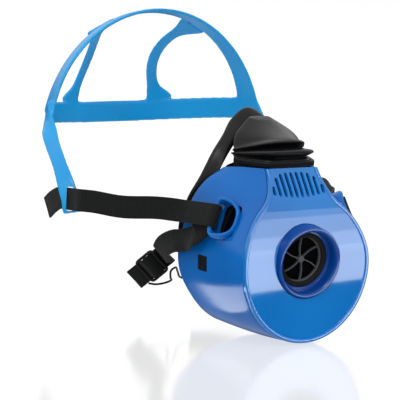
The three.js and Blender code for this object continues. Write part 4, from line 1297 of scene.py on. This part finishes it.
# ---------------------------------------------------------------------------------------
# Head cradle
# ---------------------------------------------------------------------------------------


@dataclass(frozen=True)
class Cradle:
    """Head cradle: hoop, back band, two ribs and two slotted arms, melted into one moulding."""

    thick: float = 2.4
    centre: tuple = (0, 75, 50)
    half: tuple = (98, 112, 88)
    rib_route: tuple = ((38.5, 54), (33, 65.5), (29.5, 77), (28, 88), (29, 98), (32, 106.5), (39, 116))
    arm_route: tuple = ((84, 126, 60), (88.5, 117, 50), (94, 101, 39), (99, 81, 28), (101, 67, 16), (100, 61, 5),
                        (99, 59, -5.2))
    arm_end: tuple = (100, 61, 4.5)
    arm_face: tuple = (0.52, -0.84)

    def normal(self, p: Array) -> Array:
        """Outward normal of the head shape at points."""
        return unit((p - np.array(self.centre)) / np.array(self.half) ** 2)

    def on_head(self, x: float, z: float) -> tuple[float, float, float]:
        """Point on the back of the head shape."""
        h, c = self.half, self.centre
        return x, c[1] + h[1] * math.sqrt(1 - (x / h[0]) ** 2 - ((z - c[2]) / h[2]) ** 2), z

    def strip(self, points: Array, width: Array, tilt: float = 1.0, normals: Array | None = None) -> Surface:
        """A rounded band that lies flat on the head shape.

        Args:
            points: its middle line, (n, 3).
            width: its width at each point.
            tilt: share of the head's slope along Y that it takes.
            normals: its facing at each point, or None for the head shape's.

        Returns:
            The closed band.
        """
        n = self.normal(points) * [1, tilt, 1] if normals is None else normals
        across = np.cross(n, np.gradient(points, axis=0))
        section = rounded_box_section(10.0, self.thick, 0.95, 5, 2) / [10.0, 1.0]
        return sweep(points, across, section, scale=np.column_stack([width, np.ones(len(points))]))

    def hoop(self) -> Surface:
        """The front hoop, wider at its two feet."""
        turn = np.linspace(math.radians(10), math.radians(170), 120)
        line = np.stack([85 * np.cos(turn), np.full(120, 125.0), 40 + 87.5 * np.sin(turn)], axis=1)
        f = np.linspace(0, 1, 120)
        return self.strip(line, 14.5 + 7.5 * (2 * np.abs(f - 0.5)) ** 4, 0.5)

    def band(self) -> Surface:
        """The band round the back of the head."""
        turn = np.linspace(math.radians(25), math.radians(155), 120)
        x = 85 * np.cos(turn) / math.cos(math.radians(25))
        line = np.stack([x, 75 + 112 * np.sin(turn), 46.5 + 8.5 * (x / 85) ** 2], axis=1)
        return self.strip(line, np.full(120, 16.0))

    def rib(self) -> Surface:
        """The left rib between the band and the hoop, with broad feet."""
        line = even_curve([self.on_head(*p) for p in self.rib_route], 80)
        f = np.linspace(0, 1, 80)
        foot, head = 1 - smoothstep(f, 0.0, 0.27), smoothstep(f, 0.68, 1.0)
        return self.strip(line, 8.4 + 13.0 * foot**2.2 + 15.0 * head**2.2)

    def arm(self) -> Surface:
        """The left arm, which turns edge-on towards its slotted end."""
        line = even_curve(self.arm_route, 90)
        f = np.linspace(0, 1, 90)
        blend = smoothstep(f, 0, 0.3)[:, None]
        normals = unit(self.normal(line) * (1 - blend) + np.array([*self.arm_face, 0]) * blend)
        return self.strip(line, 10.5 + 4 * (1 - f) ** 4 + 2.5 * smoothstep(f, 0.6, 0.85), normals=normals)

    def slot(self) -> Surface:
        """Cutter for the left arm's slot."""
        plan = rounded_polygon([(-2.3, -8.3), (2.3, -8.3), (2.3, 8.3), (-2.3, 8.3)], 1.3, 6)
        yaw = math.atan2(self.arm_face[1], self.arm_face[0])
        cutter = Surface.grid(np.stack([level(plan, d, 0) for d in (-7, 7)]), caps=True)
        return placed(cutter, np.array(self.arm_end, float), np.array([math.cos(yaw), math.sin(yaw), 0]),
                      np.array([-math.sin(yaw), math.cos(yaw), 0]), UP)

    def build(self) -> bpy.types.Object:
        """Melts the bands into one moulding and cuts the arms' slots."""
        parts = self.hoop() + self.band()
        for half in (self.rib(), self.arm()):
            parts = parts + half + half.flipped()
        obj = parts.build("cradle_moulding", None)
        remeshed(obj, 0.8, 14, 0.5)
        slot = self.slot()
        carve(obj, [slot, slot.flipped()])
        shade(obj, 50)
        return settle(obj, Finish.CRADLE, "cradle", "harness_plastic", "head_harness")


# ---------------------------------------------------------------------------------------
# Studio
# ---------------------------------------------------------------------------------------


def stand(name: str, data: object, axes: tuple[Array, Array, Array], at: Array) -> bpy.types.Object:
    """Adds an object to the scene at a place in metres.

    Args:
        name: its name.
        data: its camera or light.
        axes: directions of its own X, Y and Z.
        at: its place.

    Returns:
        The object.
    """
    obj = bpy.data.objects.new(name, data)
    rows = np.column_stack([*axes, at]).tolist()
    obj.matrix_world = Matrix([*rows, [0, 0, 0, 1]])
    bpy.context.scene.collection.objects.link(obj)
    return obj


@dataclass(frozen=True)
class Studio:
    """Pale floor, soft lights and the camera.

    Attributes:
        eye: the camera's place in millimetres.
        azimuth: its turn about Z.
        elevation: its tilt down.
        roll: its turn about its own view.
        lens: its focal length in millimetres.
        cards: low edge, high edge in millimetres and radiance of each card that the front reflects.
    """

    eye: tuple = (-999.19, -1556.17, 294.82)
    azimuth: float = math.radians(31.85)
    elevation: float = math.radians(8.83)
    roll: float = math.radians(2.5)
    lens: float = 244.6
    cards: tuple = ((-67, 22, 6.4), (22, 50, 5.0), (50, 78, 3.2), (78, 104, 1.5))

    def camera(self) -> None:
        """Places the camera."""
        p, q, r = self.azimuth, self.elevation, self.roll
        right = np.array([math.cos(p), -math.sin(p), 0])
        back = np.array([-math.sin(p) * math.cos(q), -math.cos(p) * math.cos(q), math.sin(q)])
        up = np.cross(back, right)
        across = right * math.cos(r) + up * math.sin(r)
        upward = up * math.cos(r) - right * math.sin(r)
        data = bpy.data.cameras.new("camera")
        data.lens, data.sensor_width = self.lens, 36.0
        data.clip_start, data.clip_end = 0.1, 50.0
        eye = np.array(self.eye) * MM
        bpy.context.scene.camera = stand("camera", data, (across, upward, back), eye)

    def area(self, name: str, at: list, target: list, size: tuple[float, float],
             power: float) -> bpy.types.Object:
        """A white rectangular light in metres that looks at a target."""
        light = bpy.data.lights.new(name, "AREA")
        light.shape, light.size, light.size_y = "RECTANGLE", size[0], size[1]
        light.energy = power
        z = unit(np.array(at, float) - np.array(target, float))
        x = unit(np.cross(UP, z))
        return stand(name, light, (x, np.cross(z, x), z), at)

    def floor(self, height: float) -> bpy.types.Object:
        """White floor sheet just under the object, in metres."""
        n = 40
        x, y = np.meshgrid(np.linspace(-9000, 9000, n), np.linspace(-4000, 14000, n), indexing="ij")
        rows = np.stack([x, y, np.full_like(x, height / MM)], axis=-1)
        sheet = Surface.grid(rows, loop_columns=False)
        a, b, c = (sheet.points[i] for i in sheet.faces[0][:3])
        if np.cross(b - a, c - b)[2] < 0:
            sheet = Surface(sheet.points, [f[::-1] for f in sheet.faces], sheet.uv)
        obj = sheet.build("floor", None)
        made, g, shader = new_material("floor_white")
        tone = g.noise(g.node("ShaderNodeTexCoord").outputs["Object"], 3.0, 2.0)
        g.preset(shader, {
            "Base Color": g.mix(tone, (0.14, 0.14, 0.14, 1), (0.15, 0.15, 0.15, 1)), "Roughness": 0.13,
            "Specular IOR Level": 0.35, "Emission Color": (1, 1, 1, 1), "Emission Strength": 0.66})
        obj.data.materials.append(made)
        return obj

    def air(self) -> bpy.types.World:
        """White surroundings, dim near and below the horizon and grey far below."""
        world = bpy.data.worlds.new("studio_air")
        world.use_nodes = True
        g = Graph(world.node_tree)
        split = g.node("ShaderNodeSeparateXYZ")
        g.link(g.node("ShaderNodeTexCoord").outputs["Generated"], split.inputs[0])
        over = g.remap(split.outputs[2], 0.03, 0.16, 0.1, 1.0)
        under = g.remap(split.outputs[2], -0.62, -0.4, 0.55, 0.0)
        back = world.node_tree.nodes["Background"]
        g.preset(back, {"Color": (1.0, 1.0, 1.0, 1),
                        "Strength": g.math("MULTIPLY", g.math("ADD", over, under), 0.95)})
        return world

    def glossy_cards(self) -> list[bpy.types.Object]:
        """Cards that only the cover, the housing and the connector reflect."""
        made = []
        for k, (low, high, radiance) in enumerate(self.cards):
            mid, tall = (low + high) / 2 * MM, (high - low) * MM
            at = [0.14 - 0.06 * mid, -0.237, mid]
            power = radiance * math.pi * 0.5 * tall
            card = self.area(f"front_card_{k}", at, [at[0], 0.0, mid], (0.5, tall), power)
            card.matrix_world = card.matrix_world @ Matrix.Rotation(0.06, 4, "Z")
            made.append(card)
        made.append(self.area("side_card", [-0.42, 0.25, -0.42], [0, -0.04, -0.05], (0.55, 0.26), 2.2))
        lit = bpy.data.collections.new("glossy_faces")
        for name in ("front_cover_shell", "housing_shell", "connector_ring"):
            lit.objects.link(bpy.data.objects[name])
        for light in made:
            light.visible_diffuse = False
            light.light_linking.receiver_collection = lit
        return made

    def build(self, low: float) -> None:
        """Sets the whole studio round an object whose lowest point is at height low, in metres."""
        scene = bpy.context.scene
        scene.view_settings.view_transform = "Standard"
        scene.world = self.air()
        lights = [self.area("key", [-0.8, -0.9, 1.4], [0, 0, 0.02], (0.6, 0.6), 7), *self.glossy_cards()]
        for light in lights:
            light.visible_camera = False
        self.camera()
        floor = self.floor(low - 0.0004)
        floor.visible_glossy = False
        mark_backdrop(floor, *lights)


# ---------------------------------------------------------------------------------------
# Whole object
# ---------------------------------------------------------------------------------------


@dataclass
class Respirator:
    """The whole object: new pieces and dressed CAD nodes."""

    frame: dict
    kept: dict[str, Finish] = field(default_factory=lambda: {
        "inhalation_valve_flap": Finish.FLAP, "carrier_plate": Finish.NAVY,
        "exhalation_valve_seat": Finish.DARK, "exhalation_valve_flap": Finish.FLAP})

    def dress(self) -> None:
        """Gives the CAD nodes that stay visible their finishes."""
        for name, finish in self.kept.items():
            finish.put_on(self.frame["nodes"][name])

    def build(self) -> None:
        """Builds every sub-assembly."""
        for part in (Shell(), Connector(), Facepiece(), Guides(), Webbing(), Buckle(), Hook(), Cradle()):
            LOG.info("building %s", type(part).__name__)
            part.build()
        self.dress()


def plain_box(box: object) -> list:
    """A bounding box as plain nested lists."""
    return [[float(v) for v in corner] for corner in box]


def main() -> None:
    """Builds the object and the studio."""
    logging.basicConfig(level=logging.INFO, format="%(name)s: %(message)s")
    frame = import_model()
    before = plain_box(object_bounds())
    Respirator(frame).build()
    Studio().build(before[0][2])


if __name__ == "__main__":
    main()
